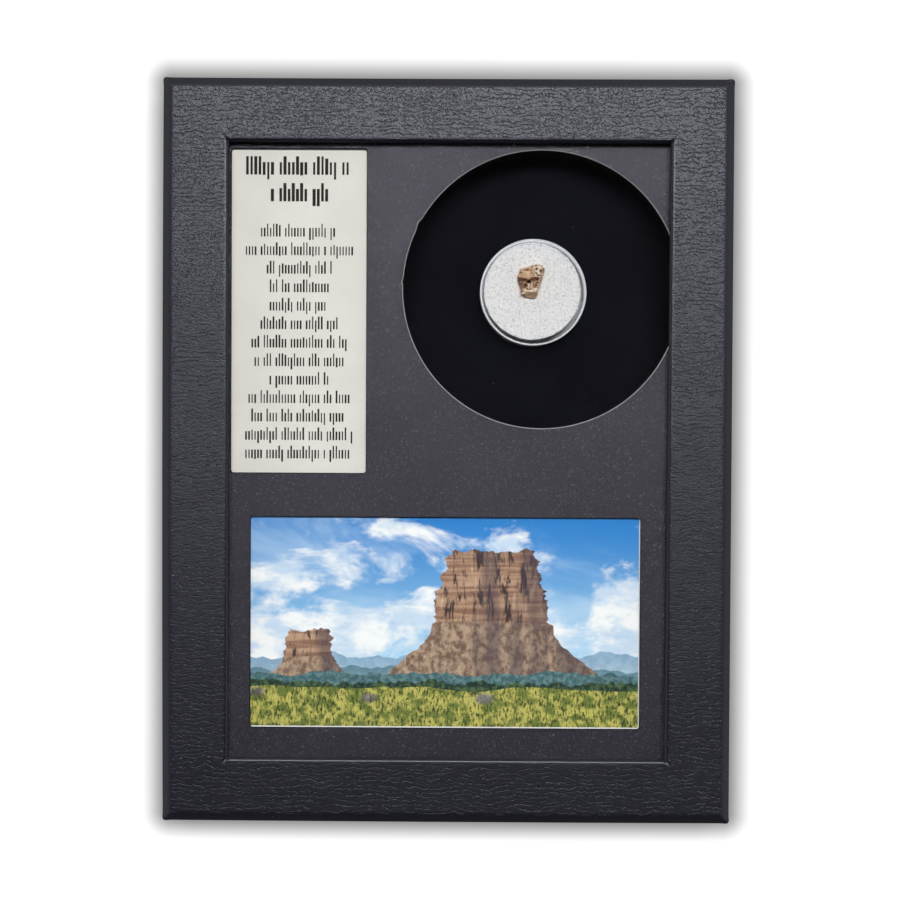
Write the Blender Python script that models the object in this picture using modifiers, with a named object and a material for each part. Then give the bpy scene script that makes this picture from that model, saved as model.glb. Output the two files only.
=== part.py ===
"""A fossil tooth in a round gem jar, fixed in a small glass-fronted display case.

The case lies on its back. +Z points out through the glass, +Y is the top of the case
as it is looked at, and the origin is the middle of its back.
"""
import math

import bmesh
import bpy
from mathutils import Vector

MM = 0.001

# Clearances
GAP = 0.3 * MM            # between pieces that rest on or in each other
JAR_GAP = 0.2 * MM        # between the thin walls of the jar

# The case
CASE_WIDTH = 157.3 * MM
CASE_HEIGHT = 205.7 * MM
CASE_DEPTH = 22.0 * MM
LID_FACE = 1.7 * MM       # thickness of the lid's front
LID_WALL = 2.2 * MM       # thickness of the lid's sides
LID_LIFT = 0.8 * MM       # the lid's sides end this far above the back
LID_ROUND = 1.9 * MM      # radius of the wrapped outer edges
PAPER_ROUND = 0.5 * MM    # radius of the other paper-covered edges
TRAY_WALL = 1.6 * MM
TRAY_FLOOR = 1.6 * MM

# The window in the lid's front
WINDOW_WIDTH = 121.5 * MM
WINDOW_HEIGHT = 170.4 * MM
WINDOW_CENTRE = Vector((0.2 * MM, 0.05 * MM))

# The layers behind the window, from the glass down
GLASS_THICKNESS = 2.0 * MM
BOARD_THICKNESS = 0.8 * MM
CARD_THICKNESS = 0.4 * MM
VELVET_THICKNESS = 1.7 * MM
CARD_MARGIN = 2.5 * MM    # how far a card runs under the board

# The cut-outs of the insert board: size and centre
LABEL_SIZE = Vector((37.5 * MM, 89.8 * MM))
LABEL_CENTRE = Vector((-41.4 * MM, 38.8 * MM))
PICTURE_SIZE = Vector((108.5 * MM, 58.7 * MM))
PICTURE_CENTRE = Vector((-0.4 * MM, -47.8 * MM))
WELL_CENTRE = Vector((25.9 * MM, 45.1 * MM))
WELL_RADIUS = 38.5 * MM
CUT_CORNER = 1.0 * MM

# The gem jar
JAR_CENTRE = Vector((23.67 * MM, 44.36 * MM))
JAR_RADIUS = 14.77 * MM
JAR_HEIGHT = 13.0 * MM
JAR_WALL = 0.4 * MM
JAR_PLATE = 0.9 * MM      # thickness of the cap's top and the cup's floor
JAR_SHOULDER = 5.1 * MM   # height of the ledge that the cap comes down to
JAR_NECK = 10.5 * MM      # height of the cup's mouth
JAR_EDGE = 0.45 * MM
FOAM_CENTRE = Vector((23.6 * MM, 44.57 * MM))
FOAM_RADIUS = 13.3 * MM
FOAM_THICKNESS = 6.8 * MM

# The tooth
TOOTH_CENTRE = Vector((23.2 * MM, 47.7 * MM))

# Heights above the back, worked out from the layers
FACE_BACK = CASE_DEPTH - LID_FACE
GLASS_TOP = FACE_BACK - GAP
GLASS_BACK = GLASS_TOP - GLASS_THICKNESS
BOARD_TOP = GLASS_BACK - GAP
BOARD_BACK = BOARD_TOP - BOARD_THICKNESS
CARD_TOP = BOARD_BACK - GAP
CARD_BACK = CARD_TOP - CARD_THICKNESS
VELVET_BACK = TRAY_FLOOR + GAP
VELVET_TOP = VELVET_BACK + VELVET_THICKNESS
BED_BACK = VELVET_TOP + GAP
BED_TOP = CARD_BACK - GAP
JAR_FOOT = VELVET_TOP + GAP
JAR_TOP = JAR_FOOT + JAR_HEIGHT
FOAM_BACK = JAR_FOOT + JAR_PLATE + GAP
FOAM_TOP = FOAM_BACK + FOAM_THICKNESS
TOOTH_BACK = FOAM_TOP + GAP

# Outer sizes inside the case
TRAY_SIZE = Vector((CASE_WIDTH, CASE_HEIGHT)) - Vector((1, 1)) * 2 * (LID_WALL + GAP)
FILL_SIZE = TRAY_SIZE - Vector((1, 1)) * 2 * (TRAY_WALL + GAP)
FILL_CORNER = 0.8 * MM

# Colour, roughness and metallic value of each piece's material
FINISHES = {
    "case_lid": ((0.055, 0.056, 0.062), 0.50, 0.0),
    "glass_pane": ((0.93, 0.96, 0.95), 0.03, 0.0),
    "insert_board": ((0.060, 0.058, 0.068), 0.75, 0.0),
    "label_card": ((0.69, 0.68, 0.63), 0.80, 0.0),
    "picture_card": ((0.30, 0.45, 0.55), 0.45, 0.0),
    "foam_bed": ((0.006, 0.006, 0.007), 0.95, 0.0),
    "velvet_floor": ((0.006, 0.006, 0.008), 1.00, 0.0),
    "case_tray": ((0.020, 0.020, 0.022), 0.70, 0.0),
    "jar_base": ((0.95, 0.96, 0.97), 0.06, 0.0),
    "jar_lid": ((0.96, 0.97, 0.98), 0.05, 0.0),
    "foam_disc": ((0.72, 0.72, 0.71), 0.95, 0.0),
    "fossil_tooth": ((0.46, 0.30, 0.17), 0.60, 0.0),
}


# Scene and material helpers

def clear_scene():
    """Remove every object that the scene starts with."""
    for item in list(bpy.data.objects):
        bpy.data.objects.remove(item, do_unlink=True)


def add_collection(name):
    """Return a new collection linked to the scene."""
    collection = bpy.data.collections.new(name)
    bpy.context.scene.collection.children.link(collection)
    return collection


def add_material(name):
    """Return a Principled material with the piece's colour and finish."""
    colour, roughness, metallic = FINISHES[name]
    material = bpy.data.materials.new(name)
    material.use_nodes = True
    shader = material.node_tree.nodes["Principled BSDF"]
    shader.inputs["Base Color"].default_value = (*colour, 1.0)
    shader.inputs["Roughness"].default_value = roughness
    shader.inputs["Metallic"].default_value = metallic
    return material


def add_piece(name, data, collection, location=(0.0, 0.0, 0.0)):
    """Link one named piece, with its own material, and return it."""
    data.materials.append(add_material(name))
    piece = bpy.data.objects.new(name, data)
    piece.location = location
    collection.objects.link(piece)
    return piece


def add_cutter(name, mesh, collection, location):
    """Link a hidden wire-frame object that a Boolean takes away."""
    cutter = bpy.data.objects.new(name, mesh)
    cutter.location = location
    cutter.hide_render = True
    cutter.display_type = "WIRE"
    collection.objects.link(cutter)
    return cutter


def cut(piece, cutter):
    """Take the cutter's shape out of the piece."""
    boolean = piece.modifiers.new(cutter.name, "BOOLEAN")
    boolean.operation = "DIFFERENCE"
    boolean.solver = "EXACT"
    boolean.object = cutter


def round_edges(piece, width, segments):
    """Round the sharp edges of a piece."""
    bevel = piece.modifiers.new("rounded_edges", "BEVEL")
    bevel.width = width
    bevel.segments = segments
    bevel.limit_method = "ANGLE"
    bevel.angle_limit = math.radians(50)


# Shape helpers

def box_mesh(name, width, height, depth):
    """Return a box that stands on its own origin plane."""
    mesh = bpy.data.meshes.new(name)
    bm = bmesh.new()
    bmesh.ops.create_cube(bm, size=1.0)
    bmesh.ops.scale(bm, vec=(width, height, depth), verts=bm.verts)
    bmesh.ops.translate(bm, vec=(0.0, 0.0, depth / 2), verts=bm.verts)
    bm.to_mesh(mesh)
    bm.free()
    return mesh


def wrapped_box_mesh(name, width, height, depth, radius):
    """Return a box whose upright and front edges are rounded and whose back is square."""
    mesh = bpy.data.meshes.new(name)
    bm = bmesh.new()
    bmesh.ops.create_cube(bm, size=1.0)
    bmesh.ops.scale(bm, vec=(width, height, depth), verts=bm.verts)
    bmesh.ops.translate(bm, vec=(0.0, 0.0, depth / 2), verts=bm.verts)
    rounded = [edge for edge in bm.edges if max(vert.co.z for vert in edge.verts) > depth / 2]
    bmesh.ops.bevel(bm, geom=rounded, offset=radius, segments=3, profile=0.5, affect="EDGES")
    bm.to_mesh(mesh)
    bm.free()
    return mesh


def rounded_rectangle(size, centre, radius, steps=4):
    """Return the points of a rectangle with round corners."""
    points = []
    inner = size / 2 - Vector((radius, radius))
    for quarter, (side_x, side_y) in enumerate(((1, 1), (-1, 1), (-1, -1), (1, -1))):
        corner = centre + Vector((inner.x * side_x, inner.y * side_y))
        for step in range(steps + 1):
            angle = math.radians(90) * (quarter + step / steps)
            points.append(corner + radius * Vector((math.cos(angle), math.sin(angle))))
    return points


def circle(centre, radius, steps=72):
    """Return the points of a circle."""
    turns = [2 * math.pi * step / steps for step in range(steps)]
    return [centre + radius * Vector((math.cos(turn), math.sin(turn))) for turn in turns]


def sheet_curve(name, outlines, thickness):
    """Return a flat curve with the given outline and holes, as thick as the sheet."""
    curve = bpy.data.curves.new(name, "CURVE")
    curve.dimensions = "2D"
    curve.fill_mode = "BOTH"
    curve.extrude = thickness / 2
    for outline in outlines:
        spline = curve.splines.new("POLY")
        spline.points.add(len(outline) - 1)
        spline.use_cyclic_u = True
        for point, place in zip(spline.points, outline):
            point.co = (place.x, place.y, 0.0, 1.0)
    return curve


def add_sheet(name, outlines, back, thickness, collection):
    """Add a flat sheet whose back lies at the given height."""
    curve = sheet_curve(name, outlines, thickness)
    return add_piece(name, curve, collection, (0.0, 0.0, back + thickness / 2))


def add_turned(name, profile, centre, foot, collection, steps=48):
    """Add a turned piece: the profile holds radius and height above the piece's foot."""
    mesh = bpy.data.meshes.new(name)
    points = [(radius, 0.0, height) for radius, height in profile]
    edges = [(index, index + 1) for index in range(len(points) - 1)]
    mesh.from_pydata(points, edges, [])
    piece = add_piece(name, mesh, collection, (centre.x, centre.y, foot))
    screw = piece.modifiers.new("turned", "SCREW")
    screw.steps = steps
    screw.render_steps = steps
    screw.use_merge_vertices = True
    screw.merge_threshold = 0.01 * MM
    screw.use_smooth_shade = True
    return piece


# The case

def add_case_lid(parts, cutters):
    """Add the wrapped lid: a front with a window, and four side walls."""
    height = CASE_DEPTH - LID_LIFT
    mesh = wrapped_box_mesh("case_lid", CASE_WIDTH, CASE_HEIGHT, height, LID_ROUND)
    lid = add_piece("case_lid", mesh, parts, (0.0, 0.0, LID_LIFT))
    inner_width = CASE_WIDTH - 2 * LID_WALL
    inner_height = CASE_HEIGHT - 2 * LID_WALL
    inside = box_mesh("lid_inside", inner_width, inner_height, FACE_BACK)
    cut(lid, add_cutter("lid_inside", inside, cutters, (0.0, 0.0, 0.0)))
    window = box_mesh("lid_window", WINDOW_WIDTH, WINDOW_HEIGHT, CASE_DEPTH)
    window_place = (WINDOW_CENTRE.x, WINDOW_CENTRE.y, CASE_DEPTH / 2)
    cut(lid, add_cutter("lid_window", window, cutters, window_place))
    round_edges(lid, PAPER_ROUND, 2)


def add_glass_pane(parts):
    """Add the glass, which lies against the back of the lid's front."""
    mesh = box_mesh("glass_pane", TRAY_SIZE.x, TRAY_SIZE.y, GLASS_THICKNESS)
    glass = add_piece("glass_pane", mesh, parts, (0.0, 0.0, GLASS_BACK))
    round_edges(glass, 0.2 * MM, 1)


def add_case_tray(parts, cutters):
    """Add the tray that the lid closes over, which is also the back of the case."""
    depth = BOARD_TOP
    mesh = box_mesh("case_tray", TRAY_SIZE.x, TRAY_SIZE.y, depth)
    tray = add_piece("case_tray", mesh, parts)
    inner = TRAY_SIZE - Vector((1, 1)) * 2 * TRAY_WALL
    inside = box_mesh("tray_inside", inner.x, inner.y, depth)
    cut(tray, add_cutter("tray_inside", inside, cutters, (0.0, 0.0, TRAY_FLOOR)))
    round_edges(tray, 0.4 * MM, 1)


# The layers in the case

def fill_outline():
    """Return the outline that the board, the foam bed and the velvet share."""
    return rounded_rectangle(FILL_SIZE, Vector((0.0, 0.0)), FILL_CORNER)


def add_insert_board(parts):
    """Add the dark board with its tall, wide and round cut-outs."""
    label = rounded_rectangle(LABEL_SIZE, LABEL_CENTRE, CUT_CORNER)
    picture = rounded_rectangle(PICTURE_SIZE, PICTURE_CENTRE, CUT_CORNER)
    well = circle(WELL_CENTRE, WELL_RADIUS)
    outlines = [fill_outline(), label, picture, well]
    add_sheet("insert_board", outlines, BOARD_BACK, BOARD_THICKNESS, parts)


def add_card(name, opening, centre, parts):
    """Add a card that shows through one of the board's cut-outs."""
    size = opening + Vector((1, 1)) * 2 * CARD_MARGIN
    outline = rounded_rectangle(size, centre, CUT_CORNER)
    add_sheet(name, [outline], CARD_BACK, CARD_THICKNESS, parts)


def add_foam_bed(parts):
    """Add the thick foam with the round well that the jar stands in."""
    outlines = [fill_outline(), circle(WELL_CENTRE, WELL_RADIUS + GAP)]
    add_sheet("foam_bed", outlines, BED_BACK, BED_TOP - BED_BACK, parts)


def add_velvet_floor(parts):
    """Add the flocked panel on the floor of the tray."""
    add_sheet("velvet_floor", [fill_outline()], VELVET_BACK, VELVET_THICKNESS, parts)


# The gem jar

def add_jar_base(parts):
    """Add the cup: a body as wide as the cap, and a neck that the cap slides over."""
    neck = JAR_RADIUS - JAR_WALL - JAR_GAP
    bore = neck - JAR_WALL
    edge = JAR_EDGE / 2
    profile = [
        (0.0, JAR_PLATE),
        (bore, JAR_PLATE),
        (bore, JAR_NECK),
        (neck, JAR_NECK),
        (neck, JAR_SHOULDER),
        (JAR_RADIUS - edge, JAR_SHOULDER),
        (JAR_RADIUS, JAR_SHOULDER - edge),
        (JAR_RADIUS, JAR_EDGE),
        (JAR_RADIUS - edge, edge),
        (JAR_RADIUS - JAR_EDGE, 0.0),
        (0.0, 0.0),
    ]
    add_turned("jar_base", profile, JAR_CENTRE, JAR_FOOT, parts)


def add_jar_lid(parts):
    """Add the cap: a flat top with a rounded rim and a skirt over the cup's neck."""
    bore = JAR_RADIUS - JAR_WALL
    skirt = JAR_SHOULDER + GAP
    edge = JAR_EDGE / 2
    profile = [
        (0.0, JAR_HEIGHT),
        (JAR_RADIUS - JAR_EDGE, JAR_HEIGHT),
        (JAR_RADIUS - edge / 2, JAR_HEIGHT - edge / 2),
        (JAR_RADIUS, JAR_HEIGHT - JAR_EDGE),
        (JAR_RADIUS, skirt + edge),
        (JAR_RADIUS - edge, skirt),
        (bore, skirt),
        (bore, JAR_HEIGHT - JAR_PLATE),
        (0.0, JAR_HEIGHT - JAR_PLATE),
    ]
    add_turned("jar_lid", profile, JAR_CENTRE, JAR_FOOT, parts)


def add_foam_disc(parts):
    """Add the round foam that fills the lower part of the jar."""
    profile = [
        (0.0, FOAM_THICKNESS),
        (FOAM_RADIUS - JAR_EDGE, FOAM_THICKNESS),
        (FOAM_RADIUS, FOAM_THICKNESS - JAR_EDGE),
        (FOAM_RADIUS, 0.0),
        (0.0, 0.0),
    ]
    add_turned("foam_disc", profile, FOAM_CENTRE, FOAM_BACK, parts)


# The tooth. Its own frame is in millimetres: x to the right, y up, z towards the glass.

# Outline as seen through the glass, anticlockwise from the right, x and y
TOOTH_OUTLINE = (
    (3.05, 0.35), (3.40, 1.60), (3.75, 2.75), (3.92, 3.45), (3.45, 4.00), (2.80, 4.60),
    (1.60, 4.80), (0.35, 4.38), (-0.80, 4.02), (-1.90, 3.80), (-3.05, 3.48), (-3.40, 2.80),
    (-3.68, 2.00), (-3.94, 1.15), (-3.80, 0.20), (-3.52, -1.10), (-3.08, -1.95),
    (-2.88, -2.70), (-3.02, -3.45), (-2.80, -3.98), (-2.10, -4.32), (-1.05, -4.50),
    (-0.20, -4.78), (0.90, -4.83), (1.50, -4.45), (2.05, -3.55), (1.92, -2.80),
    (2.10, -2.00), (2.62, -0.95),
)
# The worn crown ends in this lip, left to right, x and y
CROWN_LIP = ((-4.2, 1.10), (-2.2, 0.80), (-0.8, 0.45), (0.2, 0.80), (1.2, 1.00), (3.4, 1.05))
# The front ends in this edge, below which the broken root slopes away
ROOT_EDGE = ((-3.2, -3.95), (-1.75, -3.70), (-0.20, -3.30), (2.2, -3.55))
# The front ends in this edge, right of which the side drops away, y and x
SIDE_EDGE = ((-5.0, 1.9), (-1.8, 2.15), (0.2, 2.40), (1.6, 2.65), (3.8, 3.40), (5.0, 3.5))
# Ridges and lumps: x, y, half-width, half-height, rise
TOOTH_RIDGES = (
    (0.22, -1.20, 0.30, 1.30, 0.85),
    (-0.80, -1.60, 0.28, 0.85, 0.55),
    (1.95, -1.60, 0.30, 0.75, 0.50),
    (-3.25, -1.00, 0.25, 1.30, 0.45),
    (2.20, 0.10, 0.20, 0.90, 0.40),
    (-0.60, -3.00, 2.20, 0.45, 0.40),
    (-2.50, -3.55, 0.50, 0.28, 0.35),
    (-1.80, 2.10, 1.30, 0.90, 0.25),
    (0.90, 2.00, 0.50, 0.35, 0.25),
    (2.60, 3.80, 0.70, 0.50, 0.20),
)
# Pits and hollows: x, y, half-width, half-height, depth
TOOTH_PITS = (
    (-2.55, -0.85, 0.55, 0.95, 0.75),
    (-1.55, -1.10, 0.30, 0.28, 0.55),
    (-0.75, -0.25, 0.42, 0.30, 0.60),
    (1.10, -1.25, 0.38, 0.60, 0.60),
    (1.90, -0.45, 0.28, 0.25, 0.50),
    (1.80, 0.45, 0.45, 0.28, 0.50),
    (-3.55, 0.25, 0.32, 0.28, 0.45),
    (-3.00, 2.25, 0.28, 0.28, 0.40),
    (-1.20, 3.00, 0.60, 0.24, 0.30),
    (0.00, 3.10, 0.24, 0.36, 0.25),
    (2.75, 2.70, 0.30, 0.26, 0.45),
    (1.50, 3.10, 0.36, 0.42, 0.32),
    (1.25, 4.25, 0.24, 0.24, 0.22),
    (-2.70, -3.15, 0.30, 0.20, 0.30),
    (-1.10, -2.40, 0.20, 0.20, 0.25),
    (-0.30, -2.50, 0.20, 0.20, 0.25),
)
TOOTH_SEGMENTS = 56
TOOTH_FRONT_RINGS = 17
TOOTH_RINGS = 26
TOOTH_WIDEST = 1.2        # height of the outline above the tooth's underside


def between(table, value):
    """Return the straight-line reading of a table of pairs."""
    for (low, first), (high, second) in zip(table, table[1:]):
        if value <= high:
            share = max(0.0, (value - low) / (high - low))
            return first + share * (second - first)
    return table[-1][1]


def ease(value):
    """Return a smooth step from 0 to 1."""
    value = min(1.0, max(0.0, value))
    return value * value * (3 - 2 * value)


def outline_radius(angle):
    """Return the distance from the middle to the tooth's outline in one direction."""
    direction = Vector((math.cos(angle), math.sin(angle)))
    corners = [Vector(corner) for corner in TOOTH_OUTLINE]
    for first, second in zip(corners, corners[1:] + corners[:1]):
        side = second - first
        crossing = direction.x * side.y - direction.y * side.x
        if abs(crossing) < 1e-9:
            continue
        distance = (first.x * side.y - first.y * side.x) / crossing
        share = (first.x * direction.y - first.y * direction.x) / crossing
        if distance > 0 and -1e-6 <= share <= 1 + 1e-6:
            return distance
    raise ValueError("the outline has no point in that direction")


def bump(x, y, feature):
    """Return a ridge's rise or a pit's depth at one point."""
    centre_x, centre_y, half_width, half_height, amount = feature
    reach = ((x - centre_x) / half_width) ** 2 + ((y - centre_y) / half_height) ** 2
    return amount * math.exp(-reach)


def tooth_front(x, y):
    """Return the height of the tooth's front over its underside."""
    height = 3.25 - 0.035 * x * x - 0.030 * (y - 0.9) ** 2
    below_lip = between(CROWN_LIP, x) - y
    height -= 0.80 * ease(below_lip / 0.70) * (1.0 - 0.75 * ease((below_lip - 1.0) / 2.2))
    height -= 1.15 * max(0.0, x - between(SIDE_EDGE, y))
    height -= 1.10 * max(0.0, between(ROOT_EDGE, x) - y)
    height += sum(bump(x, y, ridge) for ridge in TOOTH_RIDGES)
    height -= sum(bump(x, y, pit) for pit in TOOTH_PITS)
    return max(TOOTH_WIDEST + 0.15, height)


def tooth_point(ring, angle):
    """Return one point of the tooth's skin; ring 0 is the middle of its front."""
    radius = outline_radius(angle)
    if ring <= TOOTH_FRONT_RINGS:
        share = 0.97 * ring / TOOTH_FRONT_RINGS
        x, y = radius * share * math.cos(angle), radius * share * math.sin(angle)
        top = tooth_front(x, y)
        height = TOOTH_WIDEST + (top - TOOTH_WIDEST) * math.sqrt(1.0 - share ** 7)
    else:
        down = (ring - TOOTH_FRONT_RINGS) / (TOOTH_RINGS - TOOTH_FRONT_RINGS)
        turn = math.radians(15 + 75 * down)
        share = math.sin(math.radians(90) - (turn - math.radians(15)) * 0.86)
        share = share if down < 1.0 else 0.0
        x, y = radius * share * math.cos(angle), radius * share * math.sin(angle)
        height = TOOTH_WIDEST * (1.0 - math.sin(math.radians(90) * down)) if down < 1.0 else 0.0
    return Vector((x, y, height))


def add_fossil_tooth(parts):
    """Add the tooth: a worn crown with a lip, a pillared hollow band and a broken root."""
    mesh = bpy.data.meshes.new("fossil_tooth")
    bm = bmesh.new()
    bmesh.ops.create_uvsphere(bm, u_segments=TOOTH_SEGMENTS, v_segments=TOOTH_RINGS, radius=1.0)
    for vert in bm.verts:
        ring = round(math.acos(max(-1.0, min(1.0, vert.co.z))) / math.pi * TOOTH_RINGS)
        vert.co = tooth_point(ring, math.atan2(vert.co.y, vert.co.x)) * MM
    bmesh.ops.triangulate(bm, faces=bm.faces)
    bm.to_mesh(mesh)
    bm.free()
    mesh.shade_smooth()
    add_piece("fossil_tooth", mesh, parts, (TOOTH_CENTRE.x, TOOTH_CENTRE.y, TOOTH_BACK))


def build():
    """Build the case, its layers, the jar and the tooth."""
    clear_scene()
    parts = add_collection("fossil_tooth_display")
    cutters = add_collection("cutters")
    add_case_lid(parts, cutters)
    add_glass_pane(parts)
    add_insert_board(parts)
    add_card("label_card", LABEL_SIZE, LABEL_CENTRE, parts)
    add_card("picture_card", PICTURE_SIZE, PICTURE_CENTRE, parts)
    add_foam_bed(parts)
    add_velvet_floor(parts)
    add_case_tray(parts, cutters)
    add_jar_base(parts)
    add_jar_lid(parts)
    add_foam_disc(parts)
    add_fossil_tooth(parts)


build()
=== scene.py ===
"""The looks of a fossil tooth in a round gem jar, fixed in a small glass-fronted display case.

The solids stay where the frame holds them. This script gives them their finishes, stands
finer meshes in for the wrapped lid, the board, the jar, the foam and the tooth, and sets
the studio and the camera. Sizes are in millimetres, in the frame's own axes.
"""
import logging
import math
from collections.abc import Sequence
from dataclasses import dataclass
from enum import Enum
from functools import reduce

import bmesh
import bpy
import numpy as np
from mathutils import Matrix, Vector, noise


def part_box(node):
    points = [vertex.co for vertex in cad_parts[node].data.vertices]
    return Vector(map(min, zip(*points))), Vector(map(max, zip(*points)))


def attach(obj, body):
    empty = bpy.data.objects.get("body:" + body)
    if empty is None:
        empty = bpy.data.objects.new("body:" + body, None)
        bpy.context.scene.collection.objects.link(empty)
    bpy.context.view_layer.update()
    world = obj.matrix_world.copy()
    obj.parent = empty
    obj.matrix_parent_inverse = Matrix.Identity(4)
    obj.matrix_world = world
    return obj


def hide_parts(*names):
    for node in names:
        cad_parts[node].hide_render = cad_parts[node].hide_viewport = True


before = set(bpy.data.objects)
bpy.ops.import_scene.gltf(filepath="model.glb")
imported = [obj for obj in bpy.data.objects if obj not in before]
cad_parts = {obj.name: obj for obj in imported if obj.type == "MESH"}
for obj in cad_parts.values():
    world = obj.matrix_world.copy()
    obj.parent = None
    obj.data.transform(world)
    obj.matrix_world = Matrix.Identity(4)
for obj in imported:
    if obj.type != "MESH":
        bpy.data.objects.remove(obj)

LOG = logging.getLogger("tooth_case")
MM = 0.001
ROOT = "root"

Socket = bpy.types.NodeSocket
Feed = float | Sequence[float] | bpy.types.NodeSocket
Colour = tuple[float, float, float]
Point = tuple[float, float]

TOOTH_MIDDLE: Point = (23.2, 47.7)


class SocketKind(Enum):
    """The kinds of socket that the effect groups have."""

    VALUE = "NodeSocketFloat"
    PLACE = "NodeSocketVector"


class Graph:
    """Adds and joins the nodes of one material, world or effect group."""

    def __init__(self, tree: bpy.types.NodeTree) -> None:
        """Start on an emptied tree.

        Args:
            tree: the node tree to fill.
        """
        tree.nodes.clear()
        self.tree = tree

    def add(self, kind: str, **settings: object) -> bpy.types.Node:
        """Add one node.

        Args:
            kind: the node's class name, without its leading "ShaderNode".
            settings: properties to set on the node.

        Returns:
            The new node.
        """
        node = self.tree.nodes.new(kind if kind.startswith("NodeGroup") else "ShaderNode" + kind)
        for name, value in settings.items():
            setattr(node, name, value)
        return node

    def feed(self, socket: Socket, value: Feed) -> None:
        """Link a socket to another one, or set the constant that it holds.

        Args:
            socket: the input to feed.
            value: an output socket, a number or a sequence of numbers.
        """
        if isinstance(value, bpy.types.NodeSocket):
            self.tree.links.new(value, socket)
        elif isinstance(value, (int, float)):
            socket.default_value = value
        else:
            size = len(socket.default_value)
            socket.default_value = (tuple(value) + (1.0,))[:size]

    def wire(self, node: bpy.types.Node, **feeds: Feed) -> bpy.types.Node:
        """Feed several inputs of a node.

        Args:
            node: the node.
            feeds: its inputs by name, with _ for a space.

        Returns:
            The same node.
        """
        for name, feed in feeds.items():
            self.feed(node.inputs[name.replace("_", " ")], feed)
        return node

    def math(self, operation: str, first: Feed, second: Feed = 0.0, clamp: bool = False) -> Socket:
        """Add a Math node.

        Args:
            operation: the node's operation.
            first: its first input.
            second: its second input, where the operation has one.
            clamp: whether the result is kept from 0 to 1.

        Returns:
            The result.
        """
        node = self.add("Math", operation=operation, use_clamp=clamp)
        self.feed(node.inputs[0], first)
        self.feed(node.inputs[1], second)
        return node.outputs[0]

    def total(self, *values: Feed) -> Socket:
        """Return the sum of several values."""
        return reduce(lambda result, value: self.math("ADD", result, value), values)

    def product(self, *values: Feed) -> Socket:
        """Return the product of several values."""
        return reduce(lambda result, value: self.math("MULTIPLY", result, value), values)

    def invert(self, value: Feed) -> Socket:
        """Return one minus a value."""
        return self.math("SUBTRACT", 1.0, value)

    def vector(self, operation: str, first: Feed, second: Feed = (0.0, 0.0, 0.0)) -> Socket:
        """Add a Vector Math node.

        Args:
            operation: the node's operation.
            first: its first vector.
            second: its second vector.

        Returns:
            The resulting vector.
        """
        node = self.add("VectorMath", operation=operation)
        self.feed(node.inputs[0], first)
        self.feed(node.inputs[1], second)
        return node.outputs[0]

    def scaled(self, colour: Feed, factor: Feed) -> Socket:
        """Return a colour made lighter or darker by a factor."""
        return self.wire(self.add("VectorMath", operation="SCALE"), Vector=colour, Scale=factor).outputs[0]

    def split(self, place: Feed) -> tuple[Socket, Socket, Socket]:
        """Return a vector's three parts."""
        return tuple(self.wire(self.add("SeparateXYZ"), Vector=place).outputs)

    def join(self, across: Feed, up: Feed = 0.0, out: Feed = 0.0) -> Socket:
        """Return a vector made of three parts."""
        return self.wire(self.add("CombineXYZ"), X=across, Y=up, Z=out).outputs[0]

    def step(self, value: Feed, low: Feed, high: Feed, first: Feed = 0.0, last: Feed = 1.0) -> Socket:
        """Run smoothly from one value to another as the input passes a range.

        Args:
            value: the input.
            low: where the change starts; it may lie above high.
            high: where it ends.
            first: the result before low.
            last: the result after high.

        Returns:
            The result.
        """
        return self.wire(self.add("MapRange", interpolation_type="SMOOTHSTEP"), Value=value,
                         From_Min=low, From_Max=high, To_Min=first, To_Max=last).outputs[0]

    def mix(self, share: Feed, first: Feed, second: Feed, blend: str = "MIX") -> Socket:
        """Mix two colours.

        Args:
            share: how much of the second colour shows, from 0 to 1.
            first: the colour below.
            second: the colour above.
            blend: the blend type.

        Returns:
            The mixed colour.
        """
        node = self.add("Mix", data_type="RGBA", blend_type=blend, clamp_factor=True)
        for index, feed in ((0, share), (6, first), (7, second)):
            self.feed(node.inputs[index], feed)
        return node.outputs[2]

    def noise(self, place: Feed, size: float, detail: float = 2.0, rough: float = 0.5,
              warp: float = 0.0) -> Socket:
        """Return a smooth noise value around one half.

        Args:
            place: the point, in millimetres.
            size: the size of one lump, in millimetres.
            detail: how many finer layers are added.
            rough: how strong the finer layers are.
            warp: how far the noise bends itself.

        Returns:
            The noise value.
        """
        return self.wire(self.add("TexNoise"), Vector=place, Scale=1.0 / size, Detail=detail,
                         Roughness=rough, Distortion=warp).outputs[0]

    def cells(self, place: Feed, size: float, feature: str = "F1") -> bpy.types.Node:
        """Add a Voronoi node whose cells have the given size in millimetres."""
        return self.wire(self.add("TexVoronoi", feature=feature), Vector=place, Scale=1.0 / size)

    def random(self, place: Feed) -> bpy.types.Node:
        """Add a White Noise node that gives each point of the plane its own number."""
        return self.wire(self.add("TexWhiteNoise", noise_dimensions="2D"), Vector=place)

    def bump(self, height: Feed, depth: float, strength: float = 1.0) -> Socket:
        """Turn a height into a normal.

        Args:
            height: the height, from 0 to 1.
            depth: what a height of 1 stands for, in millimetres.
            strength: the share of the effect that shows.

        Returns:
            The bent normal.
        """
        return self.wire(self.add("Bump"), Height=height, Distance=depth * MM, Strength=strength).outputs[0]

    def place(self) -> Socket:
        """Return the point on the object, in millimetres in the frame's axes."""
        coordinates = self.add("TexCoord")
        return self.vector("MULTIPLY", coordinates.outputs["Object"], (1 / MM, 1 / MM, 1 / MM))

    def stored(self, name: str) -> bpy.types.Node:
        """Add a node that reads a value stored on the mesh."""
        return self.add("Attribute", attribute_type="GEOMETRY", attribute_name=name)

    def zone(self, name: str) -> Socket:
        """Return the number that is stored on the mesh under a name."""
        return self.stored(name).outputs["Fac"]

    def use(self, effect: type["Effect"], **feeds: Feed) -> bpy.types.Node:
        """Place an effect's group and feed its inputs, named with _ for a space."""
        return self.wire(self.add("Group", node_tree=effect.group()), **feeds)

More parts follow.
